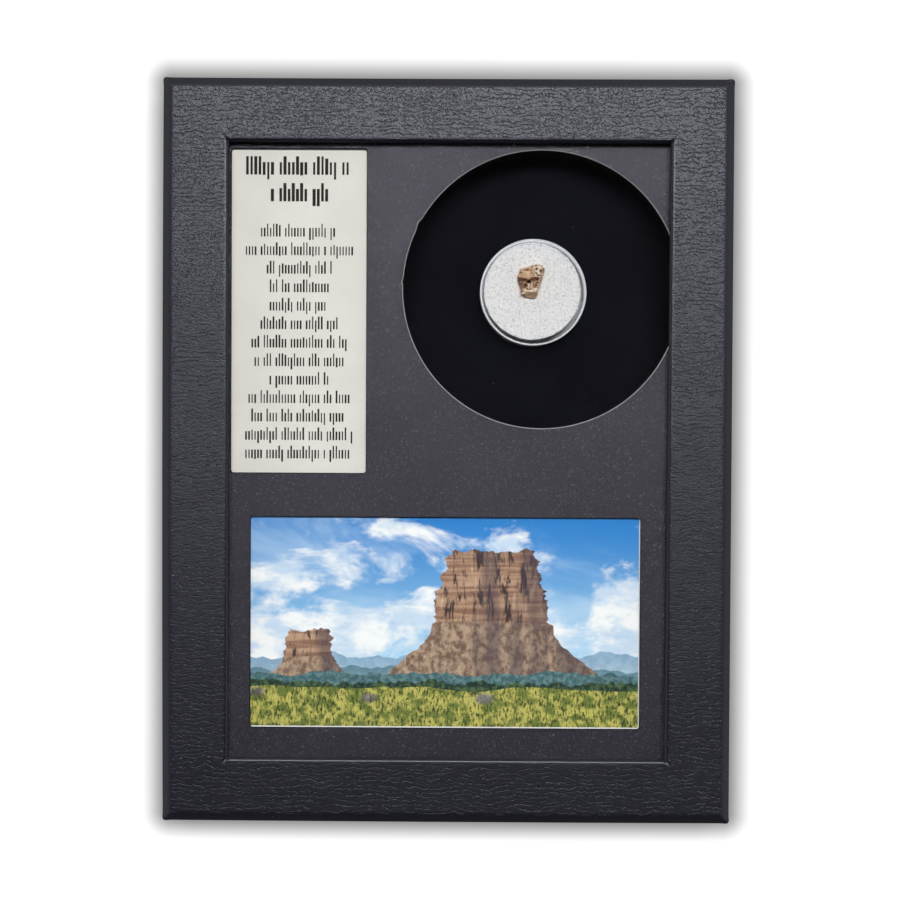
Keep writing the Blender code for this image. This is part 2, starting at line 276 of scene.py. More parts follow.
    def patches(self, place: Feed, size: float, low: float, high: float) -> Socket:
        """Return a factor that drifts from low to high over patches of a size."""
        return self.use(Patches, Place=place, Size=size, Low=low, High=high).outputs["Factor"]

    def specks(self, place: Feed, spacing: float, radius: float, share: float, most: float) -> Socket:
        """Return a mask of specks, each with a strength of its own.

        Args:
            place: the point, in millimetres.
            spacing: the size of the cells, of which each has one speck or none.
            radius: a speck's radius.
            share: the share of the cells that have a speck.
            most: the mask's value in the strongest speck.

        Returns:
            The mask.
        """
        thrown = self.use(Specks, Place=place, Spacing=spacing, Radius=radius, Share=share)
        return self.product(thrown.outputs["Mask"], thrown.outputs["Strength"], most)


class Effect:
    """A shader node group that several finishes share, built once when first asked for.

    Each takes a place in millimetres and some numbers, and gives numbers.
    """

    name: str = "effect"
    takes: dict[str, float] = {}
    gives: tuple[str, ...] = ()

    @classmethod
    def group(cls) -> bpy.types.NodeTree:
        """Return the effect's node group, and build it if it isn't there yet.

        Returns:
            The node group.
        """
        found = bpy.data.node_groups.get(cls.name)
        if found is not None:
            return found
        tree = bpy.data.node_groups.new(cls.name, "ShaderNodeTree")
        tree.interface.new_socket(name="Place", in_out="INPUT", socket_type=SocketKind.PLACE.value)
        for name, start in cls.takes.items():
            socket = tree.interface.new_socket(name=name, in_out="INPUT", socket_type=SocketKind.VALUE.value)
            socket.default_value = start
        for name in cls.gives:
            tree.interface.new_socket(name=name, in_out="OUTPUT", socket_type=SocketKind.VALUE.value)
        graph = Graph(tree)
        ends = graph.add("NodeGroupInput")
        results = cls.fill(graph, {socket.name: socket for socket in ends.outputs if socket.name})
        last = graph.add("NodeGroupOutput")
        for name, result in results.items():
            graph.feed(last.inputs[name], result)
        return tree

    @classmethod
    def fill(cls, graph: Graph, taken: dict[str, Socket]) -> dict[str, Socket]:
        """Build the nodes between the group's inputs and outputs.

        Args:
            graph: the group's graph.
            taken: the group's inputs by name.

        Returns:
            The group's results by name.
        """
        raise NotImplementedError


class Wrinkles(Effect):
    """Rows of wavy creases that run across, over a net of small flat pebbles."""

    name = "leather_wrinkles"
    takes = {"Pebble": 0.5}
    gives = ("Height", "Crease")

    @classmethod
    def fill(cls, graph: Graph, taken: dict[str, Socket]) -> dict[str, Socket]:
        """Build two sets of creases, and a net of pebbles with pits and flakes.

        Args:
            graph: the group's graph.
            taken: the point in millimetres and the pebbles' share.

        Returns:
            The paper's height, and a mask of its creases and gaps.
        """
        place = taken["Place"]
        sway = graph.noise(place, 1.0, 2.0, 0.6)
        drift = graph.noise(place, 8.0, 1.0)
        across, up, _ = graph.split(place)
        jitter = graph.noise(place, 1.5, 3.0, 0.62)
        level = graph.total(up, graph.product(drift, 3.6), graph.product(jitter, 1.9))
        long = graph.product(
            cls.creases(graph, across, level, pitch=1.26, seed=3.0, length=3.6, gap=0.43),
            graph.step(taken["Pebble"], 0.3, 1.0, 1.0, 0.34))
        short = graph.product(
            cls.creases(graph, across, level, pitch=0.86, seed=41.0, length=1.5, gap=0.53),
            graph.step(taken["Pebble"], 0.3, 1.0, 0.24, 0.26))
        crease = graph.math("MAXIMUM", long, short)
        pit_lot = graph.noise(graph.vector("MULTIPLY", place, (0.75, 1.0, 1.0)), 0.44, 1.0)
        pits = graph.step(pit_lot, 0.38, 0.28)
        bent = graph.vector("ADD", place, graph.join(sway, drift, 0.0))
        cells = graph.cells(graph.vector("MULTIPLY", bent, (0.82, 1.0, 1.0)), 0.80, "DISTANCE_TO_EDGE")
        gaps = graph.product(graph.step(cells.outputs["Distance"], 0.21, 0.0),
                             graph.step(graph.noise(place, 0.9, 2.0), 0.44, 0.62, 0.0, 1.0))
        swell = graph.product(graph.noise(place, 0.9, 1.0), 0.5)
        pebble = graph.product(graph.total(graph.product(gaps, -0.5), swell), taken["Pebble"])
        flakes = graph.step(graph.noise(place, 0.36, 2.0), 0.60, 0.72)
        pebble = graph.total(pebble, graph.product(flakes, taken["Pebble"], 0.9),
                             graph.product(pits, taken["Pebble"], -1.1))
        gaps = graph.math("MAXIMUM", graph.product(gaps, 0.6), pits)
        return {"Height": graph.math("SUBTRACT", pebble, crease),
                "Crease": graph.math("MAXIMUM", crease, graph.product(gaps, taken["Pebble"]))}

    @classmethod
    def creases(cls, graph: Graph, across: Socket, level: Socket, pitch: float, seed: float,
                length: float, gap: float) -> Socket:
        """Return a mask of wavy creases, one to a row, broken along their length.

        Args:
            graph: the group's graph.
            across: the place along the creases.
            level: the place across them, already bent.
            pitch: the distance between them.
            seed: a number that picks another pattern.
            length: the size of the breaks and of the slow bends.
            gap: the noise value below which a crease is broken off.

        Returns:
            The mask.
        """
        down = graph.math("DIVIDE", level, pitch)
        row = graph.product(graph.math("FLOOR", down), 7.7)
        lot = graph.noise(graph.join(across, row, seed), length, 2.0)
        wander = graph.noise(graph.join(across, row, seed + 90.0), length, 1.0)
        off = graph.math("SUBTRACT", graph.math("FRACT", down), wander)
        near = graph.step(graph.product(graph.math("ABSOLUTE", off), pitch), 0.19, 0.0)
        return graph.product(near, graph.step(lot, gap - 0.03, gap + 0.07))


class Specks(Effect):
    """Small round specks, such as dust, lint or pores, thrown at random."""

    name = "fine_specks"
    takes = {"Spacing": 1.0, "Radius": 0.2, "Share": 0.1}
    gives = ("Mask", "Strength")

    @classmethod
    def fill(cls, graph: Graph, taken: dict[str, Socket]) -> dict[str, Socket]:
        """Build the specks from the middles of random cells.

        Args:
            graph: the group's graph.
            taken: the point, the cells' size, and a speck's radius and share of the cells.

        Returns:
            A mask of the specks, and a strength of its own for each.
        """
        net = graph.wire(graph.add("TexVoronoi", feature="F1"), Vector=taken["Place"],
                         Scale=graph.math("DIVIDE", 1.0, taken["Spacing"]))
        lot, strength, _ = graph.split(net.outputs["Color"])
        there = graph.math("LESS_THAN", lot, taken["Share"])
        radius = graph.math("DIVIDE", taken["Radius"], taken["Spacing"])
        round_mask = graph.step(net.outputs["Distance"], radius, graph.product(radius, 0.5))
        return {"Mask": graph.product(round_mask, there), "Strength": strength}


class Patches(Effect):
    """Soft uneven patches, for age, fading and handling."""

    name = "soft_patches"
    takes = {"Size": 20.0, "Low": 0.9, "High": 1.1}
    gives = ("Factor",)

    @classmethod
    def fill(cls, graph: Graph, taken: dict[str, Socket]) -> dict[str, Socket]:
        """Build one broad noise between the two limits.

        Args:
            graph: the group's graph.
            taken: the point, the patches' size and the limits.

        Returns:
            The factor.
        """
        node = graph.wire(graph.add("TexNoise"), Vector=taken["Place"], Detail=3.0,
                          Scale=graph.math("DIVIDE", 1.0, taken["Size"]))
        return {"Factor": graph.step(node.outputs[0], 0.3, 0.7, taken["Low"], taken["High"])}


class Skyline(Effect):
    """The area below an uneven line, for hills, rock and grass edges in a print."""

    name = "skyline"
    takes = {"Level": 0.0, "Relief": 5.0, "Width": 30.0, "Rough": 0.5, "Seed": 0.0}
    gives = ("Mask", "Depth")

    @classmethod
    def fill(cls, graph: Graph, taken: dict[str, Socket]) -> dict[str, Socket]:
        """Build the line from a noise along the print.

        Args:
            graph: the group's graph.
            taken: the point, the line's level, relief, hill width, roughness and seed.

        Returns:
            A mask of what lies below the line, and how far below it a point is.
        """
        across, up, _ = graph.split(taken["Place"])
        node = graph.wire(graph.add("TexNoise", noise_dimensions="2D"), Detail=6.0,
                          Vector=graph.join(across, taken["Seed"]), Roughness=taken["Rough"],
                          Scale=graph.math("DIVIDE", 1.0, taken["Width"]))
        swing = graph.product(graph.math("SUBTRACT", node.outputs[0], 0.5), 2.0, taken["Relief"])
        depth = graph.math("SUBTRACT", graph.total(taken["Level"], swing), up)
        return {"Mask": graph.step(depth, -0.08, 0.08), "Depth": depth}


class Rows(Effect):
    """Centred rows of plain upright ticks in groups, which stand in for lines of print."""

    name = "tick_rows"
    takes = {"Pitch": 5.0, "Tick": 0.8, "Weight": 0.3, "Half Width": 15.0,
             "Shortest": 0.6, "Rows": 4.0, "Seed": 0.0}
    gives = ("Ink",)

    @classmethod
    def fill(cls, graph: Graph, taken: dict[str, Socket]) -> dict[str, Socket]:
        """Build the marks from the row and the place in it.

        Args:
            graph: the group's graph.
            taken: the point from the middle of the first row's top, the distance between
                rows and between ticks, a tick's weight, half the block's width, the share
                of it that the shortest row has, the number of rows and a seed.

        Returns:
            A mask of the ink.
        """
        across, up, _ = graph.split(taken["Place"])
        down = graph.math("DIVIDE", graph.product(up, -1.0), taken["Pitch"])
        row = graph.math("FLOOR", down)
        in_row = graph.math("FRACT", down)
        row_lot = graph.random(graph.join(row, taken["Seed"])).outputs["Value"]
        reach = graph.product(taken["Half Width"], graph.step(row_lot, 0.0, 1.0, taken["Shortest"], 1.0))
        cells = graph.math("FLOOR", graph.math("DIVIDE", reach, taken["Tick"]))
        along = graph.math("DIVIDE", across, taken["Tick"])
        cell = graph.math("FLOOR", along)
        inside = graph.product(
            graph.math("LESS_THAN", graph.math("ABSOLUTE", graph.total(cell, 0.5)), cells),
            graph.math("GREATER_THAN", down, 0.0),
            graph.math("LESS_THAN", down, taken["Rows"]),
        )
        middle = graph.math("ABSOLUTE", graph.math("SUBTRACT", graph.math("FRACT", along), 0.5))
        lot = graph.random(graph.join(cell, graph.total(row, graph.product(taken["Seed"], 7.0))))
        height_lot, weight_lot, _ = graph.split(lot.outputs["Color"])
        place_in_row = graph.total(cell, graph.product(row, 3.0), 700.0)
        word = graph.math("FLOOR", graph.math("DIVIDE", place_in_row, 8.0))
        word_lot = graph.random(graph.join(word, row)).outputs["Value"]
        gap_at = graph.math("FLOOR", graph.product(word_lot, 7.9))
        gap = graph.math("COMPARE", graph.math("MODULO", place_in_row, 8.0), gap_at)
        half = graph.product(taken["Weight"], graph.step(weight_lot, 0.2, 0.8, 0.40, 0.60))
        upright = graph.step(middle, half, graph.product(half, 0.75))
        top = graph.step(height_lot, 0.66, 0.78, 0.36, 0.14)
        foot = graph.step(height_lot, 0.13, 0.05, 0.80, 0.98)
        tall = graph.product(graph.step(in_row, graph.math("SUBTRACT", top, 0.03), top),
                             graph.step(in_row, graph.total(foot, 0.03), foot))
        return {"Ink": graph.product(upright, tall, inside, graph.invert(gap))}


@dataclass(frozen=True)
class Finish:
    """A surface finish: a name, the record's slot, and a method that paints its nodes."""

    name: str
    slot: str

    def material(self) -> bpy.types.Material:
        """Return the finish's material, and build it if it isn't there yet.

        Returns:
            The material.
        """
        found = bpy.data.materials.get(self.name)
        if found is not None:
            return found
        material = bpy.data.materials.new(self.name)
        material.use_nodes = True
        graph = Graph(material.node_tree)
        shader = graph.add("BsdfPrincipled")
        surface = self.paint(graph, shader)
        output = graph.add("OutputMaterial")
        graph.feed(output.inputs["Surface"], surface or shader.outputs[0])
        return material

    def paint(self, graph: Graph, shader: bpy.types.Node) -> Socket | None:
        """Feed the shader.

        Args:
            graph: the material's graph.
            shader: its Principled shader.

        Returns:
            The surface's shader socket, or None for the Principled shader's own.
        """
        raise NotImplementedError


@dataclass(frozen=True)
class LeatherPaper(Finish):
    """Black leather-grain paper, creased across, and smooth where it turns over an edge."""

    colour: Colour = (0.0038, 0.0039, 0.0078)
    # Painted shade: the creases, gaps and pits are painted this darker colour.
    crease_shade_colour: Colour = (0.002, 0.002, 0.004)
    # Pale specks thrown at random over the paper.
    pale_speck_colour: Colour = (0.25, 0.26, 0.29)
    rubbed_colour: Colour = (0.13, 0.125, 0.12)
    sheen: Colour = (0.89, 0.91, 0.99)
    gloss: float = 0.44
    roughness: float = 0.385
    crease_depth: float = 0.076

    def paint(self, graph: Graph, shader: bpy.types.Node) -> None:
        """Feed colour, gloss and creases, less of them on the turned edges, with the creases painted darker
        as painted shade.
        """
        place = graph.stored("paper_place").outputs["Vector"]
        uneven = graph.product(graph.noise(place, 1.1, 3.0), 0.8)
        edge = graph.step(graph.total(graph.zone("turned_edge"), uneven), 0.60, 1.15)
        inner = graph.zone("inner_edge")
        wear = graph.zone("edge_wear")
        _, up, _ = graph.split(place)
        rough_area = graph.product(graph.step(graph.noise(place, 26.0, 1.0), 0.38, 0.62, 0.6, 1.0),
                                   graph.step(up, -70.0, 60.0, 0.22, 1.0))
        wrinkles = graph.use(Wrinkles, Place=place, Pebble=rough_area)
        flat = graph.product(graph.step(edge, 0.0, 1.0, 1.0, 0.16), graph.step(inner, 0.0, 1.0, 1.0, 0.3))
        height = graph.product(wrinkles.outputs["Height"], flat, graph.step(up, -70.0, 60.0, 0.72, 1.0))
        patches = graph.patches(place, 34.0, 0.85, 1.2)
        crease = graph.product(wrinkles.outputs["Crease"], flat)
        # Painted shade: the creases, gaps and pits are painted a little darker than the paper.
        tone = graph.mix(graph.product(crease, 0.5), self.colour, self.crease_shade_colour)
        # Pale specks, thrown at random, are painted into the paper's colour.
        specked = graph.mix(graph.specks(place, 2.3, 0.17, 0.20, 0.8), graph.scaled(tone, patches),
                          self.pale_speck_colour)
        rubbed = graph.step(graph.noise(place, 0.7, 3.0, 0.7), 0.62, 0.68)
        worn = graph.mix(graph.product(rubbed, wear), specked, self.rubbed_colour)
        wall = graph.zone("inner_wall")
        rough = graph.total(self.roughness, graph.product(crease, rough_area, 0.16),
                            graph.product(edge, 0.14), graph.product(wall, 0.60),
                            graph.product(inner, -0.08))
        graph.wire(shader, Base_Color=worn, Specular_Tint=self.sheen, Specular_IOR_Level=self.gloss,
                   Roughness=rough, Normal=graph.bump(height, self.crease_depth))


@dataclass(frozen=True)
class SpeckledBoard(Finish):
    """Dark board with a slight sheen, short pale fibres and specks; its straight cut edges are painted dark
    as a painted shadow line, and its round cut edge is paler, partly its pale core and partly a painted
    highlight.
    """

    colour: Colour = (0.0088, 0.0079, 0.0122)
    fibre_colour: Colour = (0.15, 0.145, 0.165)
    speck_colour: Colour = (0.22, 0.21, 0.22)
    # The round cut edge's colour: partly the board's pale core, partly a painted highlight line.
    cut_core_and_highlight_colour: Colour = (0.33, 0.32, 0.34)
    # The straight cut edges' colour: a painted shadow line.
    cut_shadow_colour: Colour = (0.006, 0.005, 0.007)
    sheen: Colour = (0.92, 0.90, 1.0)
    gloss: float = 0.205
    roughness: float = 0.425

    def paint(self, graph: Graph, shader: bpy.types.Node) -> None:
        """Feed the grain, the fibres, the specks and the cut edges, with a painted shadow line on the
        straight cuts and a painted highlight on the round one.
        """
        place = graph.place()
        grain = graph.noise(place, 0.42, 3.0, 0.75)
        patches = graph.patches(place, 16.0, 0.85, 1.18)
        shade = graph.product(patches, graph.step(grain, 0.34, 0.66, 0.15, 2.1))
        fibres = graph.total(self.strands(graph, place, 0.0), self.strands(graph, place, 40.0))
        haired = graph.mix(graph.product(fibres, 0.46), graph.scaled(self.colour, shade), self.fibre_colour)
        speckled = graph.mix(graph.specks(place, 1.5, 0.17, 0.18, 0.36), haired, self.speck_colour)
        _, _, facing = graph.split(graph.add("NewGeometry").outputs["Normal"])
        cut = graph.step(graph.math("ABSOLUTE", facing), 0.995, 0.93)
        # Painted shadow and highlight: the straight cut edges are painted near black, the round cut edge
        # pale.
        dark = graph.zone("painted_cut_shadow")
        cut_light_and_shade = graph.mix(dark, self.cut_core_and_highlight_colour, self.cut_shadow_colour)
        rough = graph.total(self.roughness - 0.10, graph.product(grain, 0.24),
                            graph.product(cut, graph.step(dark, 0.0, 1.0, 0.2, 0.6)))
        relief = graph.total(graph.product(grain, 0.8), graph.product(fibres, 0.3))
        graph.wire(shader, Base_Color=graph.mix(cut, speckled, cut_light_and_shade), Specular_Tint=self.sheen,
                   Specular_IOR_Level=self.gloss, Roughness=rough, Normal=graph.bump(relief, 0.08))

    def strands(self, graph: Graph, place: Socket, seed: float) -> Socket:
        """Return a mask of short thin curved fibres.

        Args:
            graph: the material's graph.
            place: the point.
            seed: an offset that picks another pattern.

        Returns:
            The mask.
        """
        moved = graph.vector("ADD", place, (seed, -seed, seed))
        bend = graph.noise(moved, 0.95, 1.0)
        line = graph.math("ABSOLUTE", graph.math("SUBTRACT", bend, 0.5))
        short = graph.step(graph.noise(moved, 0.75, 1.0), 0.56, 0.66)
        return graph.product(graph.step(line, 0.040, 0.010), short)


@dataclass(frozen=True)
class LabelPrint(Finish):
    """Off-white label paper with rows of plain ticks where a label has its lines."""

    middle: Point
    half_height: float
    paper: Colour = (0.735, 0.712, 0.668)
    ink: Colour = (0.010, 0.007, 0.006)

    def paint(self, graph: Graph, shader: bpy.types.Node) -> None:
        """Feed the paper's tone, its two heavy rows and its block of fine rows."""
        place = graph.place()
        top = self.middle[1] + self.half_height
        ink = None
        for down, pitch, tick, weight, half_width, shortest, rows, seed in (
            (1.0, 7.4, 1.16, 0.74, 15.4, 1.0, 1.0, 3.0), (8.4, 7.4, 1.16, 0.74, 8.2, 1.0, 1.0, 5.0),
            (20.0, 5.14, 0.84, 0.58, 16.0, 0.55, 13.0, 11.0),
        ):
            start = graph.vector("SUBTRACT", place, (self.middle[0], top - down, 0.0))
            rows_here = graph.use(Rows, Place=start, Pitch=pitch, Tick=tick, Weight=weight,
                                  Half_Width=half_width, Shortest=shortest, Rows=rows, Seed=seed)
            mark = rows_here.outputs["Ink"]
            ink = mark if ink is None else graph.math("MAXIMUM", ink, mark)
        patches = graph.patches(place, 14.0, 0.965, 1.02)
        fibre = graph.noise(place, 0.25, 3.0, 0.65)
        shade = graph.product(patches, graph.step(fibre, 0.2, 0.8, 0.96, 1.03))
        graph.wire(shader, Base_Color=graph.mix(ink, graph.scaled(self.paper, shade), self.ink),
                   Roughness=graph.total(0.62, graph.product(ink, -0.12)), Specular_IOR_Level=0.07,
                   Normal=graph.bump(fibre, 0.02, 0.5))


@dataclass(frozen=True)
class BlackFoam(Finish):
    """Open black foam."""

    colour: Colour = (0.0024, 0.0024, 0.0032)
    pore_colour: Colour = (0.0015, 0.0015, 0.0018)

    def paint(self, graph: Graph, shader: bpy.types.Node) -> None:
        """Feed a dark colour with open pores."""
        pores = graph.use(Specks, Place=graph.place(), Spacing=0.55, Radius=0.22, Share=0.7).outputs
        graph.wire(shader, Base_Color=graph.mix(pores["Mask"], self.colour, self.pore_colour),
                   Roughness=graph.step(pores["Strength"], 0.0, 1.0, 0.9, 1.0), Specular_IOR_Level=0.06,
                   Normal=graph.bump(pores["Mask"], -0.2, 0.8))


@dataclass(frozen=True)
class VelvetFlock(Finish):
    """Deep black flock with a few pale specks of lint."""

    colour: Colour = (0.0034, 0.0036, 0.0066)
    lint_colour: Colour = (0.16, 0.16, 0.17)

    def paint(self, graph: Graph, shader: bpy.types.Node) -> None:
        """Feed the pile's tone and the lint."""
        place = graph.place()
        pile = graph.noise(place, 0.16, 2.0, 0.7)
        patches = graph.patches(place, 24.0, 0.8, 1.25)
        shade = graph.product(patches, graph.step(pile, 0.2, 0.8, 0.6, 1.4))
        tone = graph.mix(graph.specks(place, 3.2, 0.20, 0.13, 0.8), graph.scaled(self.colour, shade),
                         self.lint_colour)
        graph.wire(shader, Base_Color=tone, Roughness=graph.step(pile, 0.0, 1.0, 0.85, 1.0),
                   Specular_IOR_Level=0.08, Normal=graph.bump(pile, 0.12, 0.7))


@dataclass(frozen=True)
class TrayPaper(Finish):
    """Plain black paper over the tray, with a fine tooth and scuffed edges."""

    colour: Colour = (0.014, 0.014, 0.0155)
    scuff_colour: Colour = (0.12, 0.115, 0.11)

    def paint(self, graph: Graph, shader: bpy.types.Node) -> None:
        """Feed the paper's tone, tooth and scuffs."""
        place = graph.place()
        tooth = graph.noise(place, 0.3, 3.0, 0.65)
        patches = graph.patches(place, 40.0, 0.8, 1.3)
        scuffed = graph.mix(graph.specks(place, 5.0, 0.35, 0.10, 0.3), graph.scaled(self.colour, patches),
                            self.scuff_colour)
        graph.wire(shader, Base_Color=scuffed, Roughness=graph.step(tooth, 0.2, 0.8, 0.55, 0.75),
                   Normal=graph.bump(tooth, 0.04, 0.7))


@dataclass(frozen=True)
class ClearFinish(Finish):
    """Clear glass or plastic, which lets the studio's light through to what is behind it."""

    tint: Colour = (1.0, 1.0, 1.0)
    bend: float = 1.5
    roughness: float = 0.0
    haze: float = 0.0            # the share of the light that it scatters as it is

    def paint(self, graph: Graph, shader: bpy.types.Node) -> Socket:
        """Feed plain transmission, and let the light of lamps and of matt surfaces pass."""
        smears = graph.noise(graph.place(), 7.0, 3.0, 0.6)
        graph.wire(shader, Base_Color=self.tint, Metallic=0.0, Transmission_Weight=1.0 - self.haze,
                   IOR=self.bend,
                   Roughness=graph.step(smears, 0.45, 0.8, self.roughness, self.roughness + 0.03))
        path = graph.add("LightPath")
        passing = graph.math("MAXIMUM", path.outputs["Is Shadow Ray"], path.outputs["Is Diffuse Ray"])
        through = graph.wire(graph.add("BsdfTransparent"), Color=self.tint)
        both = graph.add("MixShader")
        graph.feed(both.inputs[0], passing)
        graph.feed(both.inputs[1], shader.outputs[0])
        graph.feed(both.inputs[2], through.outputs[0])
        return both.outputs[0]


@dataclass(frozen=True)
class WhiteFoam(Finish):
    """Fine white foam with pores that look a little greyer than the skin."""

    colour: Colour = (0.845, 0.840, 0.832)
    # The colour of the painted warm glow round the tooth.
    tooth_glow_colour: Colour = (0.88, 0.84, 0.78)
    pore_colour: Colour = (0.36, 0.36, 0.355)

    def paint(self, graph: Graph, shader: bpy.types.Node) -> None:
        """Feed the small beads, each with a darker pore, and a painted warm glow round the tooth, standing
        in for light bounced off it.
        """
        place = graph.place()
        warped = graph.vector("ADD", place, graph.join(*(
            graph.product(graph.noise(graph.vector("ADD", place, (seed, 0.0, 0.0)), 0.7, 1.0), 0.5)
            for seed in (0.0, 20.0, 40.0))))
        beads = graph.cells(warped, 0.64)
        seam = graph.step(beads.outputs["Distance"], 0.28, 0.72)
        lot, _, _ = graph.split(beads.outputs["Color"])
        uneven = graph.noise(place, 0.42, 2.0, 0.6)
        dots = graph.product(graph.step(beads.outputs["Distance"], 0.46, 0.20), graph.step(lot, 0.15, 0.85))
        shade = graph.total(graph.product(dots, 0.60), graph.step(uneven, 0.34, 0.52, 0.28, 0.0))
        # Painted light: a warm glow is painted on the foam round the tooth.
        plain = graph.mix(graph.zone("tooth_glow"), self.colour, self.tooth_glow_colour)
        height = graph.math("SUBTRACT", graph.product(uneven, 0.6), graph.total(seam, dots))
        graph.wire(shader, Base_Color=graph.mix(shade, plain, self.pore_colour),
                   Roughness=graph.step(uneven, 0.3, 0.7, 0.95, 0.8), Normal=graph.bump(height, 0.11, 0.8))


@dataclass(frozen=True)
class FossilEnamel(Finish):
    """Worn tooth: tan enamel, a grey patch, a brown groove, pale ridges and dark pits."""

    tan: Colour = (0.55, 0.325, 0.168)
    pale: Colour = (0.62, 0.46, 0.32)
    cream: Colour = (0.88, 0.76, 0.59)
    grey: Colour = (0.49, 0.455, 0.42)
    umber: Colour = (0.32, 0.150, 0.070)
    brown: Colour = (0.115, 0.034, 0.013)
    mauve: Colour = (0.235, 0.155, 0.125)
    pit: Colour = (0.036, 0.011, 0.005)
    stone_stain: Colour = (0.15, 0.105, 0.080)
    broken: Colour = (0.58, 0.40, 0.25)

    def paint(self, graph: Graph, shader: bpy.types.Node) -> None:
        """Feed the zones that are stored on the mesh, broken up by noise."""
        place = graph.place()
        clouds = graph.noise(place, 1.2, 5.0, 0.66)
        grain = graph.noise(place, 0.40, 5.0, 0.74)
        speckle = graph.noise(place, 0.17, 3.0, 0.70)

        def zone(name: str, low: float = 0.22, high: float = 0.66, most: float = 0.9) -> Socket:
            """Return a stored zone with a soft uneven border."""
            stored = graph.zone(name)
            offset = graph.product(graph.math("SUBTRACT", grain, 0.5), graph.step(stored, 0.02, 0.3), 0.9)
            return graph.step(graph.total(stored, offset), low, high, 0.0, most)

        base = graph.mix(graph.step(clouds, 0.36, 0.64), self.tan, self.pale)
        base = graph.mix(graph.step(grain, 0.50, 0.68, 0.0, 0.75), base, self.umber)
        base = graph.mix(graph.step(speckle, 0.44, 0.30, 0.0, 0.6), base, self.cream)
        smooth_tan = graph.mix(graph.step(clouds, 0.42, 0.66), self.tan, self.pale)
        smooth_tan = graph.mix(graph.step(grain, 0.56, 0.72, 0.0, 0.35), smooth_tan, self.umber)
        base = graph.mix(zone("crown"), base, smooth_tan)
        stone = graph.mix(graph.step(grain, 0.40, 0.58), self.cream, self.grey)
        stone = graph.mix(graph.step(speckle, 0.54, 0.66, 0.0, 0.8), stone, self.stone_stain)
        base = graph.mix(zone("grey_patch"), base, stone)
        base = graph.mix(zone("fracture", 0.2, 0.8), base, graph.mix(
            graph.step(grain, 0.36, 0.62), self.umber, self.broken))
        base = graph.mix(zone("mauve_zone"), base, self.mauve)
        rust = graph.mix(graph.step(speckle, 0.48, 0.72), self.brown, self.umber)
        rust = graph.mix(graph.step(grain, 0.60, 0.70), rust, self.pale)
        base = graph.mix(zone("brown_zone", 0.20, 0.75, 0.95), base, rust)
        base = graph.mix(zone("cream_zone", 0.25, 0.80, 0.85), base, self.cream)
        cavity = graph.zone("cavity")
        base = graph.mix(graph.step(cavity, 0.10, 0.80, 0.0, 0.75), base, self.brown)
        base = graph.mix(graph.step(cavity, -0.25, -0.8, 0.0, 0.45), base, self.cream)
        base = graph.mix(zone("pit_zone", 0.30, 0.75, 0.95), base, self.pit)
        height = graph.total(grain, graph.product(speckle, 0.5))
        graph.wire(shader, Base_Color=base, Roughness=graph.step(clouds, 0.3, 0.7, 0.38, 0.62),
                   Specular_IOR_Level=0.22, Normal=graph.bump(height, 0.11, 0.9))


